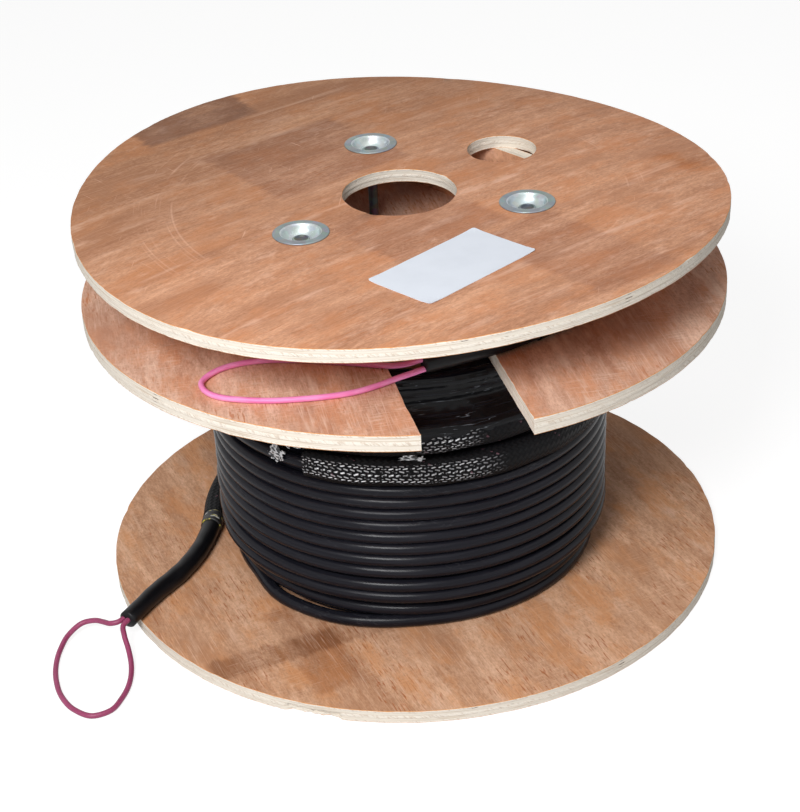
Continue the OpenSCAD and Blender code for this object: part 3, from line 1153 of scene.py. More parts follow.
@dataclass(frozen=True)
class Crumple(Finish):
    """Crumpled film over black turns: painted white highlights along its creases, torn to a ragged edge."""

    name: str = "crumpled_film"
    black: Colour = (0.012, 0.013, 0.016)
    # Colour of the painted highlights on the creases.
    white: Colour = (0.72, 0.74, 0.77)

    def inputs(self, n: Nodes) -> Inputs:
        """Painted highlights on creases where noise over the UV crosses its middle, torn away from the UV's centre.

        Args:
            n: the material's nodes.

        Returns:
            The shader's inputs.
        """
        along, up, _ = n.split(n.lay())
        fold = n.drawn(n.lay(), (4.0, 5.0, 1), 2, 0.45)
        # Painted highlight along the creases.
        crease_glint = n.range(n.size(n.minus(fold, 0.5)), 0.10, 0.01)
        far = n.plus(*(n.math("POWER", n.madd(part, 2.0, -1.0), 2.0) for part in (along, up)))
        tear = n.madd(n.drawn(n.lay(), (3.5, 3.5, 1)), 2.2, n.mul(far, -1.0))
        return {"Base Color": n.mix(crease_glint, self.black, self.white), "Alpha": n.math("GREATER_THAN", tear, 0.55),
                "Roughness": 0.25, "Normal": n.bump(fold, 0.7, 0.0015)}


@dataclass
class Studio:
    """Camera at the photograph's angle, soft light, and a pale floor on a white ground.

    A lamp is a name, a place in the photograph's axes, a side in metres and a power in watts.
    """

    eye: Triple = (0.0, -1.094934, 0.730298)
    yaw: float = math.radians(-0.310)
    pitch: float = math.radians(29.947)
    roll: float = math.radians(-2.719)
    focal: float = 1944.42
    frame_height: int = 812
    sensor: float = 36.0
    aim: Triple = (0.0, 0.0, 0.15)
    lamps: tuple[tuple[str, Triple, float, float], ...] = (
        ("key_light", (-0.40, -1.17, 1.10), 0.5, 21.5),
        ("fill_light", (1.5, -1.0, 1.3), 1.6, 1.5),
        ("top_light", (0.1, -0.2, 2.2), 1.4, 8.0),
    )
    floor_half: float = 6.0
    floor_z: float = -0.0003

    def build(self) -> None:
        """Makes the camera, the world, the lamps and the floor."""
        self.camera()
        self.world()
        for lamp in self.lamps:
            self.lamp(*lamp)
        self.floor()

    def camera(self) -> None:
        """Camera from its yaw, pitch and roll, turned with the drum about the axis."""
        level = math.cos(self.pitch)
        forward = np.array([math.sin(self.yaw) * level, math.cos(self.yaw) * level, -math.sin(self.pitch)])
        right = np.array([math.cos(self.yaw), -math.sin(self.yaw), 0.0])
        up = np.cross(right, forward)
        across = math.cos(self.roll) * right + math.sin(self.roll) * up
        upright = -math.sin(self.roll) * right + math.cos(self.roll) * up
        axes = Matrix([[*row] for row in np.stack([across, upright, -forward], axis=1)]).to_4x4()
        data = bpy.data.cameras.new("photo_camera")
        data.sensor_fit = "AUTO"
        data.sensor_width = self.sensor
        data.lens = self.sensor * self.focal / self.frame_height
        data.clip_start = 0.05
        obj = link("photo_camera", data)
        obj.matrix_world = Matrix.Rotation(-VIEW_TURN, 4, "Z") @ Matrix.Translation(self.eye) @ axes
        bpy.context.scene.camera = obj

    def world(self) -> None:
        """White ground for camera, glossy and transmission rays, and an even light for the rest."""
        world = bpy.data.worlds.new("studio")
        n = empty_tree(world)
        light = n.add("ShaderNodeBackground", {0: (1.0, 0.985, 0.97), 1: 0.14})
        ground = n.add("ShaderNodeBackground", {0: (1.0, 1.0, 1.0), 1: 1.0})
        both = n.add("ShaderNodeMixShader", {0: n.seen(), 1: light.outputs[0], 2: ground.outputs[0]})
        n.add("ShaderNodeOutputWorld", {0: both.outputs[0]})
        bpy.context.scene.world = world
        bpy.context.scene.view_settings.view_transform = "Standard"

    def lamp(self, name: str, at: Triple, size: float, power: float) -> None:
        """Square soft lamp aimed at the drum's middle.

        Args:
            name: the lamp's name.
            at: its place in the photograph's axes.
            size: its side in metres.
            power: its power in watts.
        """
        data = bpy.data.lights.new(name, "AREA")
        data.shape = "SQUARE"
        data.size = size
        data.energy = power
        spot = Matrix.Rotation(-VIEW_TURN, 3, "Z") @ Vector(at)
        aim = (Vector(self.aim) - spot).to_track_quat("-Z", "Y")
        link(name, data).matrix_world = Matrix.Translation(spot) @ aim.to_matrix().to_4x4()

    def floor(self) -> None:
        """Pale floor: plain diffuse, and for seen rays part diffuse and part white so that shadows stay soft."""
        corners = [(x * self.floor_half, y * self.floor_half, self.floor_z)
                   for x, y in ((-1, -1), (1, -1), (1, 1), (-1, 1))]
        mesh = bpy.data.meshes.new("floor")
        mesh.from_pydata(corners, [], [(0, 1, 2, 3)])
        material = bpy.data.materials.new("pale_floor")
        n = empty_tree(material)
        plain = n.add("ShaderNodeBsdfDiffuse", {0: (0.8, 0.8, 0.8)})
        soft = n.add("ShaderNodeBsdfDiffuse", {0: (0.3, 0.3, 0.3)})
        white = n.add("ShaderNodeEmission", {0: (1.0, 1.0, 1.0), 1: 0.85})
        both = n.add("ShaderNodeAddShader", {0: soft.outputs[0], 1: white.outputs[0]})
        mixed = n.add("ShaderNodeMixShader", {0: n.seen(), 1: plain.outputs[0], 2: both.outputs[0]})
        n.add("ShaderNodeOutputMaterial", {0: mixed.outputs[0]})
        mesh.materials.append(material)
        link("floor", mesh)


def warp(x: Array, y: Array) -> Array:
    """Rise of the top flange's face: a saddle that grows outside the bolts.

    Args:
        x: places in metres.
        y: places in metres.

    Returns:
        Rise in metres: -0.25 x' y' in the photograph's axes, times a weight that grows from r 0.09 m to the rim.
    """
    across = math.cos(VIEW_TURN) * x - math.sin(VIEW_TURN) * y
    away = math.sin(VIEW_TURN) * x + math.cos(VIEW_TURN) * y
    weight = np.clip((np.hypot(x, y) - 0.09) / 0.11, 0, 1) ** 1.3
    return -0.25 * across * away * weight


@dataclass
class Loop:
    """Closed edge line of a flange: its points and the level direction out of the wood at each."""

    line: Array
    out: Array
    rough: float
    seed: int


@dataclass
class Flange:
    """Plywood disc with its holes or slot, worn ply edges and veneer faces."""

    node: str
    low: float
    faces: list[Material]
    seed: int
    round_holes: list[tuple[float, float, float]] = field(default_factory=list)
    upper_seats: list[tuple[float, float, float]] = field(default_factory=list)
    lower_seats: list[tuple[float, float, float]] = field(default_factory=list)
    slotted: bool = False
    bent: bool = False
    thick: float = PLY
    chipped: tuple[float, float, float, float] | None = None
    slot_x: tuple[float, float] = (-37.8 * MM, 25 * MM)
    slot_y: float = -95 * MM
    spacing: float = 2 * MM
    seat_depth: float = 6.8 * MM

    def circle(self, x: float, y: float, r: float, inward: bool, rough: float, seed: int) -> Loop:
        """Round edge line.

        Args:
            x: place of its middle.
            y: place of its middle.
            r: its radius.
            inward: whether it is a hole, so that the way out of the wood is towards its middle.
            rough: how rough the edge is.
            seed: number that fixes the roughness.

        Returns:
            The edge line.
        """
        count = max(48, int(TAU * r / self.spacing))
        angle = np.arange(count) * TAU / count
        spoke = np.stack([np.cos(angle), np.sin(angle)], axis=1)
        return Loop(np.array([x, y]) + r * spoke, -spoke if inward else spoke, rough, seed)

    def slotted_rim(self) -> Loop:
        """Rim that runs round the disc and in and out of the slot, anticlockwise.

        Returns:
            The edge line.
        """
        left, right = self.slot_x
        start, end = math.acos(right / FLANGE_R), math.acos(left / FLANGE_R)
        arc = np.linspace(-start, TAU - end, int(TAU * FLANGE_R / self.spacing))
        rim = FLANGE_R * np.stack([np.cos(arc), np.sin(arc)], axis=1)
        corners = np.array([rim[-1], [left, self.slot_y], [right, self.slot_y], rim[0]])
        runs = [even(corners[k:k + 2], self.spacing)[1:] for k in range(3)]
        runs[2] = runs[2][:-1]
        outs = [np.tile(d, (len(run), 1)) for run, d in zip(runs, ([1.0, 0.0], [0.0, -1.0], [-1.0, 0.0]))]
        line = np.concatenate([rim, *runs])
        return Loop(line, np.concatenate([rim / FLANGE_R, *outs]), 1.0, self.seed)

    def wall(self, loop: Loop) -> tuple[Patch, Array, Array]:
        """Cut edge: the edge line at each height of the ply, moved in or out by ply steps, chips and roughness.

        Args:
            loop: the edge line.

        Returns:
            The patch, and the line at its lower and upper end.
        """
        share = np.array([0, 0.05, 0.125, 0.145, 0.2, 0.26, 0.32, 0.37, 0.39, 0.45, 0.5, 0.55, 0.61, 0.63, 0.68,
                          0.74, 0.8, 0.855, 0.875, 0.95, 1.0])
        step = np.linalg.norm(np.roll(loop.line, -1, axis=0) - loop.line, axis=1)
        s = np.concatenate([[0], np.cumsum(step)])
        rng = np.random.default_rng(loop.seed)
        chips = np.zeros((len(loop.line), 2))
        for end in range(2):
            at = rng.uniform(0, s[-1], max(4, int(s[-1] / 0.05)))
            wide = rng.uniform(1.2, 6.0, len(at)) * MM
            deep = rng.uniform(0.1, 0.9, len(at)) ** 2 * MM * loop.rough
            away = np.abs(s[:-1, None] - at)
            away = np.minimum(away, s[-1] - away)
            chips[:, end] = (deep * np.exp(-((away / wide) ** 2))).sum(1)
        grit = noise2(s[:-1, None] / MM, share[None] * 8.5, loop.seed + 1, 24, 4.0)
        slow = noise(s[:-1] / MM * 0.06, loop.seed + 2)
        lines = np.array(PLY_LINES)
        ply = np.array([0.0, -0.06, 0.05, -0.04, 0.02])[np.searchsorted(lines, share)]
        groove = -0.10 * np.exp(-((np.abs(share[:, None] - lines).min(1) / 0.012) ** 2))
        worn = -0.22 * np.exp(-((np.minimum(share, 1 - share) / 0.02) ** 2))
        off = (0.05 * grit + 0.08 * slow[:, None]) * loop.rough + ply + groove + worn
        off = off * MM - chips[:, :1] * smooth(1 - share, 0.8, 1.0) - chips[:, 1:] * smooth(share, 0.8, 1.0)
        if self.chipped and loop.rough == 1.0:
            at, half, deep, up_to = self.chipped
            turn = np.degrees(np.arctan2(loop.line[:, 1], loop.line[:, 0])) - at
            broken = smooth(np.abs(turn) + 0.5 * noise(turn * 2, loop.seed + 3), half + 0.6, half - 0.6)
            lost = smooth(share[None] + 0.05 * noise(turn * 3, loop.seed + 4)[:, None], up_to + 0.04, up_to - 0.04)
            off = off - deep * broken[:, None] * lost * (1 + 0.25 * grit)
        level = loop.line[:, None] + loop.out[:, None] * off[..., None]
        rise = self.rise(level[..., 0], level[..., 1])
        z = self.low + self.thick * share[None] + rise
        grid = np.concatenate([level, z[..., None]], axis=-1)
        patch = grid_patch(grid, s, share, wrap_u=True, slot=2)
        return patch, grid[:, 0], grid[:, -1]

    def rise(self, x: Array, y: Array) -> Array:
        """Rise of this flange at a place."""
        return warp(x, y) if self.bent else np.zeros_like(x)

    def face(self, edges: list[Array], height: float, up: bool) -> Patch:
        """Flat face: points on a staggered grid and on the edge lines, joined by triangles that keep the lines.

        Args:
            edges: edge lines (x, y, z), the rim first.
            height: the face's level.
            up: whether it faces up.

        Returns:
            The patch.
        """
        gap = 8 * MM
        rows = np.arange(-FLANGE_R, FLANGE_R, gap * 0.866)
        x, y = np.meshgrid(np.arange(-FLANGE_R, FLANGE_R, gap), rows)
        x = x + (np.arange(len(rows)) % 2)[:, None] * gap / 2
        inner = np.stack([x.ravel(), y.ravel()], axis=1)
        border = np.concatenate([edge[:, :2] for edge in edges])
        near = np.full(len(inner), np.inf)
        for part in np.array_split(border, max(1, len(border) // 200)):
            near = np.minimum(near, np.linalg.norm(inner[:, None] - part[None], axis=2).min(1))
        inner = inner[(near > 0.55 * gap) & self.between(inner, edges)]
        points = np.concatenate([border, inner])
        links, base = [], 0
        for edge in edges:
            number = base + np.arange(len(edge))
            links.append(np.stack([number, np.roll(number, -1)], axis=1))
            base += len(edge)
        made = delaunay_2d_cdt([Vector(p) for p in points.tolist()], np.concatenate(links).tolist(), [], 1, 1e-7)
        spot = np.array([v[:] for v in made[0]])
        tris = np.array([f for f in made[2] if len(f) == 3])
        tris = tris[self.between(spot[tris].mean(1), edges)]
        a, b, c = (spot[tris[:, k]] for k in range(3))
        turned = ((b - a)[:, 0] * (c - a)[:, 1] - (b - a)[:, 1] * (c - a)[:, 0]) > 0
        tris = np.where((turned == up)[:, None], tris, tris[:, ::-1])
        z = height + self.rise(spot[:, 0], spot[:, 1])
        return Patch(np.column_stack([spot, z]), tris=tris, tri_uv=spot[tris], slot=1 - int(up))

    @staticmethod
    def between(spot: Array, edges: list[Array]) -> Array:
        """Whether places are in the wood: a ray along X crosses the edge lines an odd number of times.

        Args:
            spot: the places, one row each.
            edges: edge lines.

        Returns:
            True for each place in the wood.
        """
        inside = np.zeros(len(spot), bool)
        x, y = spot[:, :1], spot[:, 1:2]
        for edge in edges:
            a, b = edge[:, :2], np.roll(edge[:, :2], -1, axis=0)
            spans = (a[:, 1] > y) != (b[:, 1] > y)
            tall = np.where(np.abs(b[:, 1] - a[:, 1]) < 1e-12, 1e-12, b[:, 1] - a[:, 1])
            crosses = spans & (x < a[:, 0] + (y - a[:, 1]) * (b[:, 0] - a[:, 0]) / tall)
            inside ^= crosses.sum(1) % 2 == 1
        return inside

    def seat(self, edge: Array, x: float, y: float, up: bool) -> Patch:
        """Seat of a cup washer: a wall from the face's edge line into the wood, and a flat floor.

        Args:
            edge: edge line on the face.
            x: place of the seat's middle.
            y: place of the seat's middle.
            up: whether it is in the upper face.

        Returns:
            The patch.
        """
        depth = -self.seat_depth if up else self.seat_depth
        floor = edge + np.array([0, 0, depth])
        grid = np.stack([edge, floor], axis=1)
        patch = grid_patch(grid, np.arange(len(edge) + 1) * MM, np.array([1.0, 0.2]), wrap_u=True, slot=2)
        ring = np.arange(len(edge)) * 2 + 1
        add_fan(patch, ring, np.array([x, y, floor[0, 2]]), flip=not up)
        return patch if up else patch.turned()

    def build(self) -> Piece:
        """Builds the walls, the two faces and the seats as one closed mesh.

        Returns:
            The new object, which stands for the flange's solid.
        """
        loops = [self.slotted_rim() if self.slotted else self.circle(0, 0, FLANGE_R, False, 1.0, self.seed)]
        for k, (x, y, r) in enumerate(self.round_holes):
            loops.append(self.circle(x, y, r, True, 1.3, self.seed + 10 * (k + 1)))
        patches, lower, upper = [], [], []
        for k, loop in enumerate(loops):
            patch, low, high = self.wall(loop)
            patches.append(patch.turned() if k else patch)
            lower.append(low)
            upper.append(high)
        for seats, edges, up in ((self.upper_seats, upper, True), (self.lower_seats, lower, False)):
            for x, y, r in seats:
                line = self.circle(x, y, r, True, 0.0, 0).line
                height = self.low + (self.thick if up else 0.0)
                edge = np.column_stack([line, height + self.rise(line[:, 0], line[:, 1])])
                edges.append(edge)
                patches.append(self.seat(edge, x, y, up))
        patches.append(self.face(upper, self.low + self.thick, True))
        patches.append(self.face(lower, self.low, False))
        return place(f"{self.node}_wood", patches, self.faces, Slot.PLYWOOD, (self.node,), sharp=50, weld=True)


def bolt_spot(k: int) -> tuple[float, float]:
    """Place of a bolt's axis."""
    angle = math.radians(BOLT_ANGLES[k])
    return BOLT_R * math.cos(angle), BOLT_R * math.sin(angle)


@dataclass
class Fasteners:
    """Three hexagon bolts with their pressed cup washers. The washers' rims and the bolt heads take a darkened
    copy of the zinc, and the heads' dishes and the shanks a near-black one: painted shade.
    """

    rim_metal_shaded: Material
    bowl_metal: Material
    # Near-black zinc of the heads' dishes and the shanks: painted shade.
    head: Material
    half_flat: float = 5 * MM
    head_h: float = 2.4 * MM
    shank_r: float = 3 * MM
    rim: float = 251.5 * MM
    bowl_depth: float = 6.4 * MM
    foot: float = 1.4 * MM
    around: int = 96

    def build(self) -> None:
        """Builds each washer and bolt."""
        for k in range(3):
            place(f"cup_washer_{k + 1}", self.washer(bolt_spot(k)), [self.rim_metal_shaded, self.bowl_metal], Slot.ZINC,
                  (f"top_washer_{k + 1}",), sharp=60, weld=True)
            place(f"hex_bolt_{k + 1}", self.bolt(k), [self.rim_metal_shaded, self.head], Slot.ZINC,
                  (f"bolt_{k + 1}",), sharp=35, weld=True)

    def washer(self, spot: tuple[float, float]) -> list[Patch]:
        """Cup washer turned about its bolt.

        Args:
            spot: place of the bolt's axis.

        Returns:
            Underside, edge and rim in one patch, and the bowl in another.
        """
        rim = np.array([[3.6, -6.4], [3.6, -7.4], [7.6, -7.4], [9.4, -6.8], [10.9, -5.4], [11.9, -3.3],
                        [12.6, -1.6], [13.4, -1.0], [16.4, -1.0], [16.9, -0.85], [17.0, -0.6], [16.85, -0.25],
                        [16.45, -0.03], [15.9, 0.04], [14.4, 0.05], [12.5, 0.0]]) * MM
        bowl = np.array([[12.5, 0.0], [12.1, -0.12], [11.8, -0.45], [11.5, -1.2], [11.0, -2.7], [10.2, -4.3],
                         [9.0, -5.5], [7.5, -6.2], [6.2, -6.4], [3.6, -6.4]]) * MM
        return [lathe_patch(line + [0.0, self.rim], spot, self.around, closed=False, slot=slot)
                for slot, line in enumerate((rim, bowl))]

    def bolt(self, k: int) -> list[Patch]:
        """Bolt: hexagon rows cut by a cone at the top, a turned dish in the head, and a turned shank.

        Args:
            k: number of the bolt.

        Returns:
            Head, dish and shank.
        """
        x, y = bolt_spot(k)
        angle = np.arange(self.around) * TAU / self.around
        hexagon = self.half_flat / np.cos(np.mod(angle, math.pi / 3) - math.pi / 6)
        share = np.array([0.0, 0.6, 0.72, 0.84, 0.95, 1.0, 1.0])
        limit = np.array([1.16, 1.16, 1.13, 1.08, 1.02, 0.96, 0.84]) * self.half_flat
        radius = np.minimum(hexagon[None], limit[:, None])
        z = self.rim - self.bowl_depth + self.head_h * share
        turn = angle + math.radians(BOLT_ANGLES[k])
        grid = np.stack([x + radius * np.cos(turn), y + radius * np.sin(turn),
                         np.broadcast_to(z[:, None], radius.shape)], -1)
        round_v = np.arange(self.around + 1) / self.around
        head = grid_patch(grid, np.linspace(0, 1, len(z)), round_v, wrap_v=True).turned()
        add_fan(head, np.arange(self.around), np.array([x, y, z[0]]), flip=True)
        profile = np.array([[2.6 * MM, self.foot], [self.shank_r, self.foot + 0.5 * MM],
                            [self.shank_r, z[0] + 0.5 * MM]])
        # The shank and the head's dish take the near-black zinc: painted shade between the flanges and in the dish.
        shank = lathe_patch(profile, (x, y), 32, closed=False, slot=1)
        add_fan(shank, np.arange(32), np.array([x, y, self.foot]), flip=True)
        add_fan(shank, np.arange(32) + 32 * (len(profile) - 1), np.array([x, y, profile[-1, 1]]), flip=False)
        profile = np.array([[limit[-1] / MM, 0.0], [3.5, -0.05], [3.2, -0.45], [1.6, -0.5]]) * MM + [0.0, z[-1]]
        dish = lathe_patch(profile, (x, y), self.around, closed=False, slot=1)
        ring = np.arange(self.around) + self.around * (len(profile) - 1)
        add_fan(dish, ring, np.array([x, y, z[-1] - 0.3 * MM]), flip=False)
        return [head, dish, shank]


@dataclass
class SpacerBoards:
    """Two plywood boards on edge between the middle and the top flange, either side of the spindle."""

    finishes: list[Material]
    near: float = 102 * MM
    thick: float = PLY
    start: float = -50 * MM
    length: float = 150 * MM
    turn: float = math.radians(30)

    def build(self) -> None:
        """Builds each board: two veneer faces and a closed strip of ply edge round them."""
        for node, low in (("spacer_board_right", self.near), ("spacer_board_left", -self.near - self.thick)):
            place(f"{node}_wood", self.board(low), self.finishes, Slot.PLYWOOD, (node,), sharp=50, weld=True)

    def board(self, low: float) -> list[Patch]:
        """Board of grids of length by height, and a strip through the thickness.

        Args:
            low: place of its lower face across the drum, before the turn.

        Returns:
            The two faces and the strip.
        """
        rows, columns = 61, 20
        y = self.start + np.linspace(0, self.length, rows)
        z = np.linspace(MIDDLE_TOP, TOP_LOW, columns)
        across = np.array([0.0, *PLY_LINES, 1.0])
        far, high = np.meshgrid(y, z, indexing="ij")
        sheets = [self.turned(np.full_like(far, low + t * self.thick), far, high) for t in across]
        number = np.arange(rows * columns).reshape(rows, columns)
        ring = np.concatenate([number[:-1, 0], number[-1, :-1], number[:0:-1, -1], number[0, :0:-1]])
        strip = np.stack([sheet.reshape(-1, 3)[ring] for sheet in sheets], axis=1)
        step = np.linalg.norm(np.roll(strip[:, 0], -1, axis=0) - strip[:, 0], axis=1)
        edge = grid_patch(strip, np.concatenate([[0], np.cumsum(step)]), across, wrap_u=True, slot=2)
        return [grid_patch(sheets[-1], y, z), grid_patch(sheets[0], y, z, slot=1).turned(), edge]

    def turned(self, x: Array, y: Array, z: Array) -> Array:
        """Points turned about the drum's axis."""
        c, s = math.cos(self.turn), math.sin(self.turn)
        return np.stack([c * x - s * y, s * x + c * y, z], axis=-1)


@dataclass
class Label:
    """Blank paper label that lies on the top flange."""

    paper: Material
    middle: tuple[float, float] = (4.5 * MM, -109.8 * MM)
    size: tuple[float, float] = (88.4 * MM, 48.4 * MM)
    turn: float = math.radians(32.4)
    corner: float = 2.2 * MM
    thick: float = 0.25 * MM

    @staticmethod
    def lines(half: float, count: int) -> Array:
        """Grid lines across the label, close together near its edges.

        Args:
            half: half of the label's side.
            count: lines that an even spacing would have.

        Returns:
            Their places.
        """
        close = np.linspace(0, 3, 9)
        return np.concatenate([-half + close * MM, np.linspace(-half, half, count)[3:-3],
                               half - close[::-1] * MM])

    def build(self) -> Piece:
        """Builds the label: a grid with rounded corners laid on the face, its corners a little lifted.

        Returns:
            The new object.
        """
        half_x, half_y = self.size[0] / 2, self.size[1] / 2
        x, y = np.meshgrid(self.lines(half_x, 40), self.lines(half_y, 20), indexing="ij")
        over_x, over_y = np.abs(x) - (half_x - self.corner), np.abs(y) - (half_y - self.corner)
        reach = np.maximum(np.hypot(np.maximum(over_x, 0), np.maximum(over_y, 0)), 1e-9)
        pull = np.where((over_x > 0) & (over_y > 0), np.maximum(over_x, over_y) / reach, 1)
        x = np.where(over_x > 0, np.sign(x) * (half_x - self.corner + over_x * pull), x)
        y = np.where(over_y > 0, np.sign(y) * (half_y - self.corner + over_y * pull), y)
        world_x = self.middle[0] + x * math.cos(self.turn) - y * math.sin(self.turn)
        world_y = self.middle[1] + x * math.sin(self.turn) + y * math.cos(self.turn)
        corner_lift = 0.5 * MM * smooth(np.abs(x) / half_x + np.abs(y) / half_y, 1.75, 2.0)
        wave = 0.03 * MM * (1 + noise2(x / MM * 0.1, y / MM * 0.1, 5))
        lower = TOP_FACE + warp(world_x, world_y) + 0.04 * MM + wave + corner_lift
        grid = np.stack([world_x, world_y, lower], -1)
        slab = slab_patch(grid + [0, 0, self.thick], grid)
        return place("paper_label", [slab], [self.paper], Slot.PAPER, ("label",), sharp=60)


def in_metres(rows: list[tuple[float, float, float]], rise: float) -> Array:
    """Route points from millimetres over a level to metres."""
    return np.array(rows, float) * MM + np.array([0, 0, rise])


OUTER_ROUTE = in_metres(
    [(139, -14, 142), (141, 22, 139), (128, 63, 129), (98, 104, 112), (54, 131, 89), (8, 141, 64), (-38, 135, 42),
     (-80, 116, 23), (-109, 88, 11), (-126, 55, 7.4), (-131, 34, 7.2), (-133.5, 26, 7.2), (-145, 1, 6.5),
     (-159, -19, 6.3), (-181, -41, 6.3), (-200, -63, 6.3)], BAY_FLOOR)
OUTER_LOOP = in_metres(
    [(-202.6, -62.2, 15.5), (-206, -64, 15), (-211, -63, 14), (-215, -58, 12.5), (-220, -52, 10.5), (-228, -49, 8),
     (-237, -54, 5), (-244, -66, 2.7), (-248, -81, 2), (-249, -97, 2), (-247, -113, 2), (-241, -127, 2),
     (-231, -136, 2), (-220, -134, 2), (-212, -124, 2), (-206, -111, 2.2), (-203, -97, 4), (-203, -84, 8),
     (-204, -75, 12), (-203.5, -68, 14.5), (-199.9, -64.5, 15.5)], 0.0)
INNER_ROUTE = in_metres(
    [(-18.7, -130.5, 6.3), (0, -126.6, 6.3), (24, -121.5, 6.3), (52, -112, 6.8), (82, -97, 6.8), (110, -74, 6.8),
     (131, -42, 6.8), (143, -4, 6.8), (146, 34, 6.8), (144, 72, 6.8), (134, 106, 6.8), (116, 136, 6.8), (88, 156, 6.8),
     (50, 163, 6.8), (12, 157, 6.8), (-20, 139, 6.8), (-42, 108, 6.8), (-54, 74, 6.8), (-62, 40, 5), (-63, 8, 4.6),
     (-58, -24, 4.6), (-50, -56, 4.8), (-40, -82, 5.4), (-24, -97, 4.6)], MIDDLE_TOP)
INNER_LOOP = in_metres(
    [(-20, -132.2, 3.4), (-27, -134, 3), (-36, -136.3, 2.6), (-47, -140, 2.2), (-61.5, -143.5, 2), (-74, -144, 2),
     (-86, -143, 2), (-96, -141.5, 2), (-106, -139.5, 2), (-116, -136.3, 2), (-126, -132, 2), (-133.5, -127.8, 2),
     (-139.3, -122.5, 2), (-143, -115, 2), (-143.2, -107, 2), (-138, -99.5, 2), (-129, -93.5, 2), (-118, -91, 2),
     (-104, -91.7, 2), (-88, -96, 2), (-72, -102.5, 2), (-56, -110.5, 2), (-44, -117.5, 2.4), (-34, -123.5, 3.6),
     (-27, -127.3, 5.8), (-20.2, -129.4, 8.2)], MIDDLE_TOP)


# The cable's way down the slot, in metres.
SLOT_ROUTE = [[-0.005, -0.101, 0.195], [0.010, -0.101, 0.1875], [0.024, -0.0975, 0.1823]]
# Numbers of the outer route's points where the tape and the shrink tube begin, and of the inner route's where
# the shrink tube and the sleeve end.
TAPE_FROM, SHRINK_FROM = 10, 11
SHRINK_TO, SLEEVE_TO = 3, 17
# Radius and thickness of the loops' cord in metres, and radius of the shrink tubes in millimetres.
LOOP_R, LOOP_D = 1.7 * MM, 3.4 * MM
SHRINK_R = 6.0


def polar(angle: Array, r: Array, z: Array) -> Array:
    """Points at an angle in turns, a radius and a height."""
    return np.stack([r * np.cos(angle * TAU), r * np.sin(angle * TAU), np.broadcast_to(z, np.shape(r))], axis=-1)


def shrink_tube(
    name: str, node: str, line: Array, taper: tuple[float, float], bumps: tuple[float, float, int], finish: Material
) -> Piece:
    """Shrink tube over the end of a sleeve.

    Args:
        name: the piece's name.
        node: the solid that it stands for.
        line: its centreline.
        taper: millimetres that it narrows by, and the share of its length where that begins.
        bumps: height in millimetres, frequency and seed of its bumps.
        finish: its material.

    Returns:
        The new object.
    """
    part = np.linspace(0, 1, len(line))
    half = (SHRINK_R - taper[0] * smooth(part, taper[1], 1.0) + bumps[0] * noise(part * bumps[1], bumps[2])) * MM
    return place(name, [tube_patch(line, half, half, 24, dome=0.25)], [finish], Slot.SHRINK, (node,))


def pulling_loop(name: str, node: str, route: Array, tucks: tuple[Triple, Triple], finish: Material) -> None:
    """Pulling loop of thin cord.

    Args:
        name: the piece's name.
        node: the solid that it stands for.
        route: points that it passes.
        tucks: way from its first and its last point into the shrink tube.
        finish: its material.
    """
    path = spline(np.concatenate([route[:1] + [tucks[0]], route, route[-1:] + [tucks[1]]]), 1.5 * MM)
    loop = place(name, [tube_patch(path, LOOP_R, LOOP_R, 14)], [finish], Slot.LOOP, (node,))


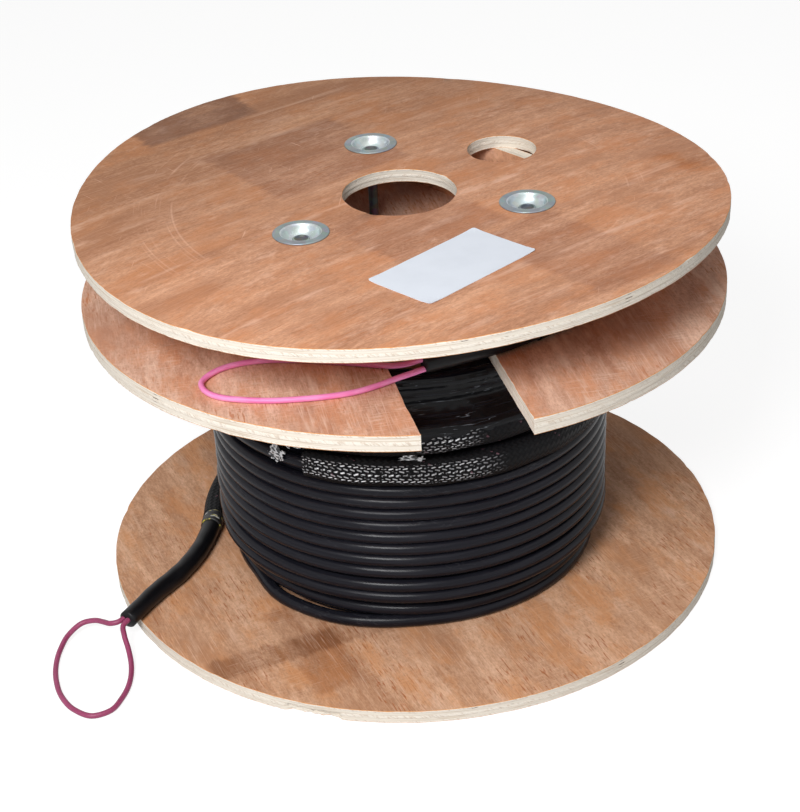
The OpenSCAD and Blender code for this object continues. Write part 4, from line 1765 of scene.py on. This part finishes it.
@dataclass
class Cable:
    """The wound cable: its inner end from the stowage bay through the slot, then four layers on the barrel."""

    jacket: Material
    radius: float = 4.15 * MM
    layer_r: tuple[float, ...] = (99.75 * MM, 107.63 * MM, 115.52 * MM, 123.4 * MM)
    low: float = 13.0 * MM
    high: float = 181.5 * MM
    full: int = 21
    outer_z: tuple[float, ...] = (36.0, 44.3, 54.6, 62.9, 71.2, 79.4, 87.7, 96.0, 104.3, 112.6)
    start: float = -60 / 360
    step_from: float = 10 / 360
    step_width: float = 160 / 360
    sleeve_angle: float = -132.5 / 360
    sleeve_z: float = 124.5 * MM
    per_turn: int = 82
    swing: float = 5.8 * MM
    sway_z: float = 0.22 * MM
    sway_r: float = 0.35 * MM
    lead_step: float = 6 * MM

    def path(self) -> Array:
        """Centreline: down the slot, then turns that are level at the front and step by a pitch at the back.

        Three full layers go down, up and down; the last turn of the third swings out, climbs over the layer below and
        begins the fourth, which goes up until the cable enters its braided sleeve.

        Returns:
            Points in metres.
        """
        level = np.linspace(self.high, self.low, self.full)
        z_of = np.concatenate([level, level[::-1], level, np.array(self.outer_z) * MM, [self.sleeve_z]])
        r_of = np.repeat(self.layer_r, [self.full, self.full, self.full, len(self.outer_z) + 1])
        last = len(z_of) - 1
        stop = last + self.sleeve_angle
        t = np.linspace(self.start, stop, int((stop - self.start) * self.per_turn))
        k = np.ceil(t - self.step_from).astype(int)
        share = smooth(t - self.step_from - (k - 1), 0, self.step_width)
        z = z_of[k - 1] + (z_of[k] - z_of[k - 1]) * share
        r = r_of[k - 1] + (r_of[k] - r_of[k - 1]) * share
        third = 3 * self.full - 1
        over = (t > third) & (t <= third + 1 + self.sleeve_angle)
        z = np.where(over, self.low + (z_of[third + 1] - self.low) * smooth(t, third, third + 1 + self.sleeve_angle), z)
        r = np.where(over, r_of[third] + (r_of[third + 1] - r_of[third]) * smooth(t, third, third + 40 / 360), r)
        swing_out = smooth(t, third - 166 / 360, third - 146 / 360)
        swing_back = smooth(t, third - 96 / 360, third - 132 / 360)
        r = r + self.swing * swing_out * swing_back
        end = last - 1 + self.step_from
        climb = z_of[last - 1] + (self.sleeve_z - z_of[last - 1]) * smooth(t, end, stop)
        z = np.where(t > end, climb, z)
        shown = smooth(t, 2 * self.full, 2 * self.full + 1)
        z = z + self.sway_z * shown * noise(t * 2.1, 11)
        r = r + self.sway_r * shown * noise(t * 1.7, 12)
        wound = polar(t, r, z)
        knots = [*SLOT_ROUTE, wound[0], wound[4]]
        lead = spline(np.concatenate([INNER_ROUTE[SLEEVE_TO:], knots]), self.lead_step)
        return np.concatenate([lead[:-1], wound[4:]])

    def build(self) -> Piece:
        """Builds the cable as one tube.

        Returns:
            The new object.
        """
        path = self.path()
        tube = tube_patch(path, self.radius, self.radius, 14, dome=0.2)
        piece = place("wound_cable", [tube], [self.jacket], Slot.JACKET, ("cable_winding", "inner_tail_cable"))
        return piece


@dataclass
class OuterEnd:
    """Outer end: braided sleeve twice round the winding and down behind it, tape, shrink tube and pulling loop."""

    braid: Material
    tape: Material
    shrink: Material
    loop: Material
    start: float = -132.5 / 360
    bed: float = 125.6 * MM
    first_z: float = 127.0 * MM
    second_z: float = 149.0 * MM
    half_side: float = 5.7 * MM
    half_up: float = 9.8 * MM
    tail_r: float = 6.5 * MM
    tape_r: float = 6.9 * MM
    turns: float = 1 + 55 / 360
    sway_z: float = 0.5 * MM
    sway_r: float = 0.4 * MM
    knot_step: float = 20 * MM
    step: float = 3 * MM
    fine_step: float = 1.2 * MM

    def sleeve_path(self) -> Array:
        """Centreline of the sleeve: a turn, a step up at the back, part of a second turn, then the tail's route.

        Returns:
            Points in metres.
        """
        t = np.linspace(self.start, self.start + self.turns, 260)
        z = self.first_z + (self.second_z - self.first_z) * smooth(t, self.start + 0.45, self.start + 0.95)
        z = z + self.sway_z * noise(t * 4, 31)
        r = self.bed + self.sway_r * noise(t * 5, 32)
        knots = even(polar(t, r, z), self.knot_step)
        return spline(np.concatenate([knots, OUTER_ROUTE[:TAPE_FROM + 1]]), self.step)

    def build(self) -> None:
        path = self.sleeve_path()
        far = reach(path)
        free = smooth(far, far[-1] - 0.66, far[-1] - 0.50)
        half_side = self.half_side + (self.tail_r - self.half_side) * free
        half_up = self.half_up + (self.tail_r - self.half_up) * free
        angle = np.arange(40) * TAU / 40
        relief = 0.035 * noise2(far[:, None] * 45, np.cos(angle)[None] * 1.2, 33) * (1 - 0.6 * free[:, None])
        tube = tube_patch(path, half_side, half_up, 40, 1 + relief, 2.5, 0.15)
        sleeve = place("outer_sleeve", [tube], [self.braid], Slot.BRAID, ("sleeve_winding", "outer_tail_sleeve"))
        ring = spline(OUTER_ROUTE[TAPE_FROM - 1:SHRINK_FROM + 2], self.fine_step)
        ring = ring[nearest(ring, OUTER_ROUTE[TAPE_FROM]) - 1:nearest(ring, OUTER_ROUTE[SHRINK_FROM]) + 2]
        angle = np.arange(24) * TAU / 24
        crinkle = 1 + 0.03 * noise2(np.arange(len(ring))[:, None] * 0.9, angle[None] * 2, 34)
        tube = tube_patch(ring, self.tape_r, self.tape_r, 24, crinkle, dome=0.1)
        tape = place("tail_tape", [tube], [self.tape], Slot.TAPE, ("outer_tail_tape",))
        line = spline(OUTER_ROUTE[TAPE_FROM:], self.step)
        line = line[nearest(line, OUTER_ROUTE[SHRINK_FROM]):]
        shrink = shrink_tube("outer_shrink", "outer_tail_shrink", line, (0.3, 0.55), (0.1, 9, 35), self.shrink)
        tuck = (0.006, 0.005, 0.0)
        pulling_loop("outer_loop", "outer_pulling_loop", OUTER_LOOP, (tuck, tuck), self.loop)


@dataclass
class InnerEnd:
    """Inner end stowed over the middle flange: braided sleeve, shrink tube and pulling loop."""

    braid: Material
    shrink: Material
    loop: Material
    sleeve_r: float = 6.5 * MM
    step: float = 3 * MM

    def build(self) -> None:
        path = spline(INNER_ROUTE[SHRINK_TO:SLEEVE_TO + 1][::-1], self.step)
        far = np.arange(len(path)) * 3 * MM
        angle = np.arange(32) * TAU / 32
        relief = 1 + 0.02 * noise2(far[:, None] * 60, np.cos(angle)[None], 41)
        tube = tube_patch(path, self.sleeve_r, self.sleeve_r, 32, relief, dome=0.2)
        sleeve = place("inner_sleeve", [tube], [self.braid], Slot.BRAID, ("inner_tail_sleeve",))
        line = spline(INNER_ROUTE[:SHRINK_TO + 1][::-1], self.step)
        shrink = shrink_tube("inner_shrink", "inner_tail_shrink", line, (0.4, 0.75), (0.08, 8, 42), self.shrink)
        tucks = (0.008, 0.001, 0.0), (0.008, -0.001, 0.0)
        pulling_loop("inner_loop", "inner_pulling_loop", INNER_LOOP, tucks, self.loop)


@dataclass
class FilmWrap:
    """Clear film drawn from the braided sleeve up over the upper turns, and its crumpled scraps, which carry painted
    highlights.

    The drawn film spans angles in degrees and heights in millimetres. A scrap is an angle in degrees and, in
    metres, the place of its middle up the drum, its width and its height.
    """

    film: Material
    crumple: Material
    skin: float = 0.12 * MM
    bed: float = 0.13
    turns: tuple[float, float] = (-128.0, -50.0)
    heights: tuple[float, float] = (146.0, 185.0)
    over_sleeve: float = 131.9 * MM
    inset: float = 11.5 * MM
    rib: float = 0.55 * MM
    rib_z: float = 0.1814
    pitch: float = 8.42 * MM
    ripple: float = 0.3 * MM
    turns_r: float = 0.129
    scrap_r: float = 129.2 * MM
    scrap_fold: float = 0.6 * MM
    # The third scrap lies in the groove between the sleeve's passes to carry a painted glare streak on the film.
    scraps: tuple[tuple[float, float, float, float], ...] = (
        (-141.0, 0.129, 0.017, 0.015), (-136.5, 0.1405, 0.026, 0.010), (-102.5, 0.1370, 0.021, 0.0105),
    )
    slack: float = 1.05

    def build(self) -> None:
        wrap = self.drawn()
        piece = self.sheet("film_wrap", wrap, self.film)
        for k, (turn, z, wide, high) in enumerate(self.scraps):
            scrap = self.scrap(math.radians(turn), z, wide, high, 60 + k)
            piece = self.sheet(f"film_scrap_{k + 1}", scrap, self.crumple)

    def sheet(self, name: str, outer: Array, finish: Material) -> Piece:
        """Thin piece under an outer surface."""
        inner = outer * [*[1 - self.skin / self.bed] * 2, 1]
        return place(name, [slab_patch(outer, inner)], [finish], Slot.JACKET, sharp=60)

    def drawn(self) -> Array:
        """Film surface over angle and height, from the sleeve's upper half in to the upper turns it ribs over.

        Returns:
            Grid of points.
        """
        turn = np.radians(np.linspace(*self.turns, 120))[:, None]
        z = np.linspace(*self.heights, 70)[None] * MM
        drop = smooth(z, 0.1545, 0.1690)
        ribs = self.rib * np.cos((z - self.rib_z) / self.pitch * TAU) * smooth(z, 0.164, 0.170)
        ripple = self.ripple * (noise2(turn * 8 + z * 60, z * 160, 51) + 0.4 * noise2(turn * 20 - z * 120, z * 330, 52))
        r = self.over_sleeve - self.inset * drop + ribs + ripple
        return np.stack([r * np.cos(turn), r * np.sin(turn), z + 0 * turn], axis=-1)

    def scrap(self, turn: float, z: float, wide: float, high: float, seed: int) -> Array:
        """Crumpled scrap: a small patch over the turns with strong folds.

        Args:
            turn: its angle.
            z: its height.
            wide: its width.
            high: its height up.
            seed: number that fixes its folds.

        Returns:
            Grid of points.
        """
        u, v = np.meshgrid(np.linspace(-1, 1, 40), np.linspace(-1, 1, 30), indexing="ij")
        edge = 1 + 0.10 * noise(np.arctan2(v, u) * 2, seed)
        u, v = u * edge, v * edge
        r = self.scrap_r + self.scrap_fold * noise2(u * 2, v * 2, seed + 1, 12, 2.5)
        angle = turn + u * wide / 2 / self.turns_r
        return np.stack([r * np.cos(angle), r * np.sin(angle), z + v * high / 2], axis=-1)


def dress_nodes(names: list[str], material: Material) -> None:
    """Gives carried-over solids a finish.

    Args:
        names: the solids' names.
        material: the finish.
    """
    for name in names:
        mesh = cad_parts[name].data
        mesh.materials.clear()
        mesh.materials.append(material)
        LOG.info("%s: dressed", name)


# Stains of the veneers, and where painted highlights glint on the upper strands of the braid.
SHADE, GREY, PAINTED_GLINT = (0.74, 0.71, 0.73), (0.56, 0.57, 0.65), (0.93, 0.95, 1.0)
TOP_STAINS = (
    Block((-0.029, 0.184), (0.044, 0.019), 1.0, GREY), Block((-0.008, 0.084), (0.050, 0.043), 1.0, SHADE),
    Block((-0.021, -0.045), (0.043, 0.033), 0.8, SHADE), Block((0.017, -0.137), (0.029, 0.054), 0.75, SHADE),
    Block((0.157, -0.087), (0.008, 0.018), 0.7, (0.85, 0.60, 0.30), 0.007),
)
BOTTOM_STAINS = (
    Block((-0.092, 0.115), (0.010, 0.062), 1.0, (0.62, 0.55, 0.50)),
    Block((-0.095, 0.112), (0.046, 0.016), 0.85, (0.70, 0.62, 0.56)),
)
# Painted highlights of the braid.
GLINTS = (
    Block((0.034, 0.005), (0.036, 0.090), 1.0, PAINTED_GLINT, 0.010),
    Block((0.088, 0.000), (0.020, 0.105), 0.75, PAINTED_GLINT, 0.016),
    Block((0.876, 0.000), (0.014, 0.120), 0.9, PAINTED_GLINT, 0.010),
)


def build_cable() -> None:
    """Builds the wound cable with its two ends and the film."""
    jacket = Jacket("cable_jacket", (0.0082, 0.0082, 0.0122), (0.014, 0.014, 0.019), 0.25, 0.13).make()
    shrink = Jacket("shrink_tube", (0.0035, 0.0035, 0.0045), (0.009, 0.009, 0.011), 0.38, 0.2).make()
    braid = Braid("tail_braid").make()
    glinting = Braid("wrapped_braid", strands=16.0, pitch=250.0, glints=GLINTS).make()
    rose = Satin("outer_loop_sheath", (0.27, 0.036, 0.105), (0.34, 0.062, 0.152)).make()
    pink = Satin("inner_loop_sheath", (0.88, 0.22, 0.52), (0.96, 0.36, 0.68)).make()
    Cable(jacket).build()
    OuterEnd(glinting, Tape().make(), shrink, rose).build()
    InnerEnd(braid, shrink, pink).build()
    FilmWrap(Film().make(), Crumple().make()).build()


def build_drum() -> None:
    """Builds the flanges, the fasteners, the label and the boards, and dresses the solids that stay."""
    # The washers' rims and the bolts get darkened copies of the zinc, as painted shade; the bowls, nuts and base
    # washers get the plain zinc.
    rim_zinc_shaded = Zinc("rim_zinc_shaded", (0.26, 0.30, 0.31), 0.40).make()
    bowl_zinc = Zinc("bowl_zinc", (0.50, 0.55, 0.56), 0.36).make()
    head_zinc_shaded = Zinc("bolt_zinc_shaded", (0.10, 0.105, 0.11), 0.45).make()
    edge = PlyEdge("ply_edge", 70.0).make()
    # The top face takes painted shade towards its back and left.
    top = Veneer("top_veneer", 26.0, blocks=TOP_STAINS, rings=0.24, age=0.72).make()
    middle = Veneer("middle_veneer", 88.0, (0.52, 0.265, 0.170), (0.90, 0.605, 0.450), (0.50, 0.165, 0.055),
                    fibres=0.9, across=0.45, along=0.40, orange=(0.72, 0.325, 0.165), shift=(0.3, 0.7, 0.0)).make()
    bottom = Veneer("bottom_veneer", 101.0, (0.45, 0.222, 0.118), (0.82, 0.505, 0.325), (0.42, 0.135, 0.045),
                    fibres=1.0, across=0.3, along=0.35, wool=0.2, orange=(0.68, 0.305, 0.125),
                    shift=(0.9, 0.2, 0.0), blocks=BOTTOM_STAINS).make()
    board = Veneer("board_veneer", 120.0, shift=(0.5, 0.5, 0.0)).make()
    staves = RawWood("stave_wood", (0.50, 0.32, 0.18), (0.72, 0.52, 0.33)).make()
    seats = [(*bolt_spot(k), SEAT_R) for k in range(3)]
    low_seats = [(*bolt_spot(k), LOW_SEAT_R) for k in range(3)]
    drive = (DRIVE_OUT * math.cos(DRIVE_AT), DRIVE_OUT * math.sin(DRIVE_AT), DRIVE_R)
    spindle = (0.0, 0.0, SPINDLE_R)
    Flange("top_flange", TOP_LOW, [top, top, edge], 100, [spindle, drive], seats, bent=True).build()
    Flange("middle_flange", MIDDLE_LOW, [middle, middle, edge], 200, [spindle], slotted=True,
           thick=MIDDLE_TOP - MIDDLE_LOW).build()
    Flange("bottom_flange", 0.0, [bottom, bottom, edge], 300, [spindle], lower_seats=low_seats,
           chipped=(-121.5, 4.5, 2.2 * MM, 0.55)).build()
    Fasteners(rim_zinc_shaded, bowl_zinc, head_zinc_shaded).build()
    Label(Paper().make()).build()
    SpacerBoards([board, board, edge]).build()
    dress_nodes(["barrel_staves"], staves)
    dress_nodes([f"{kind}_{k}" for kind in ("nut", "base_washer") for k in (1, 2, 3)], bowl_zinc)


def main() -> None:
    """Builds the studio, the cable and the drum in order, and notes the sizes."""
    logging.basicConfig(level=logging.INFO, format="%(message)s")
    Studio().build()
    build_cable()
    build_drum()


if __name__ == "__main__":
    main()
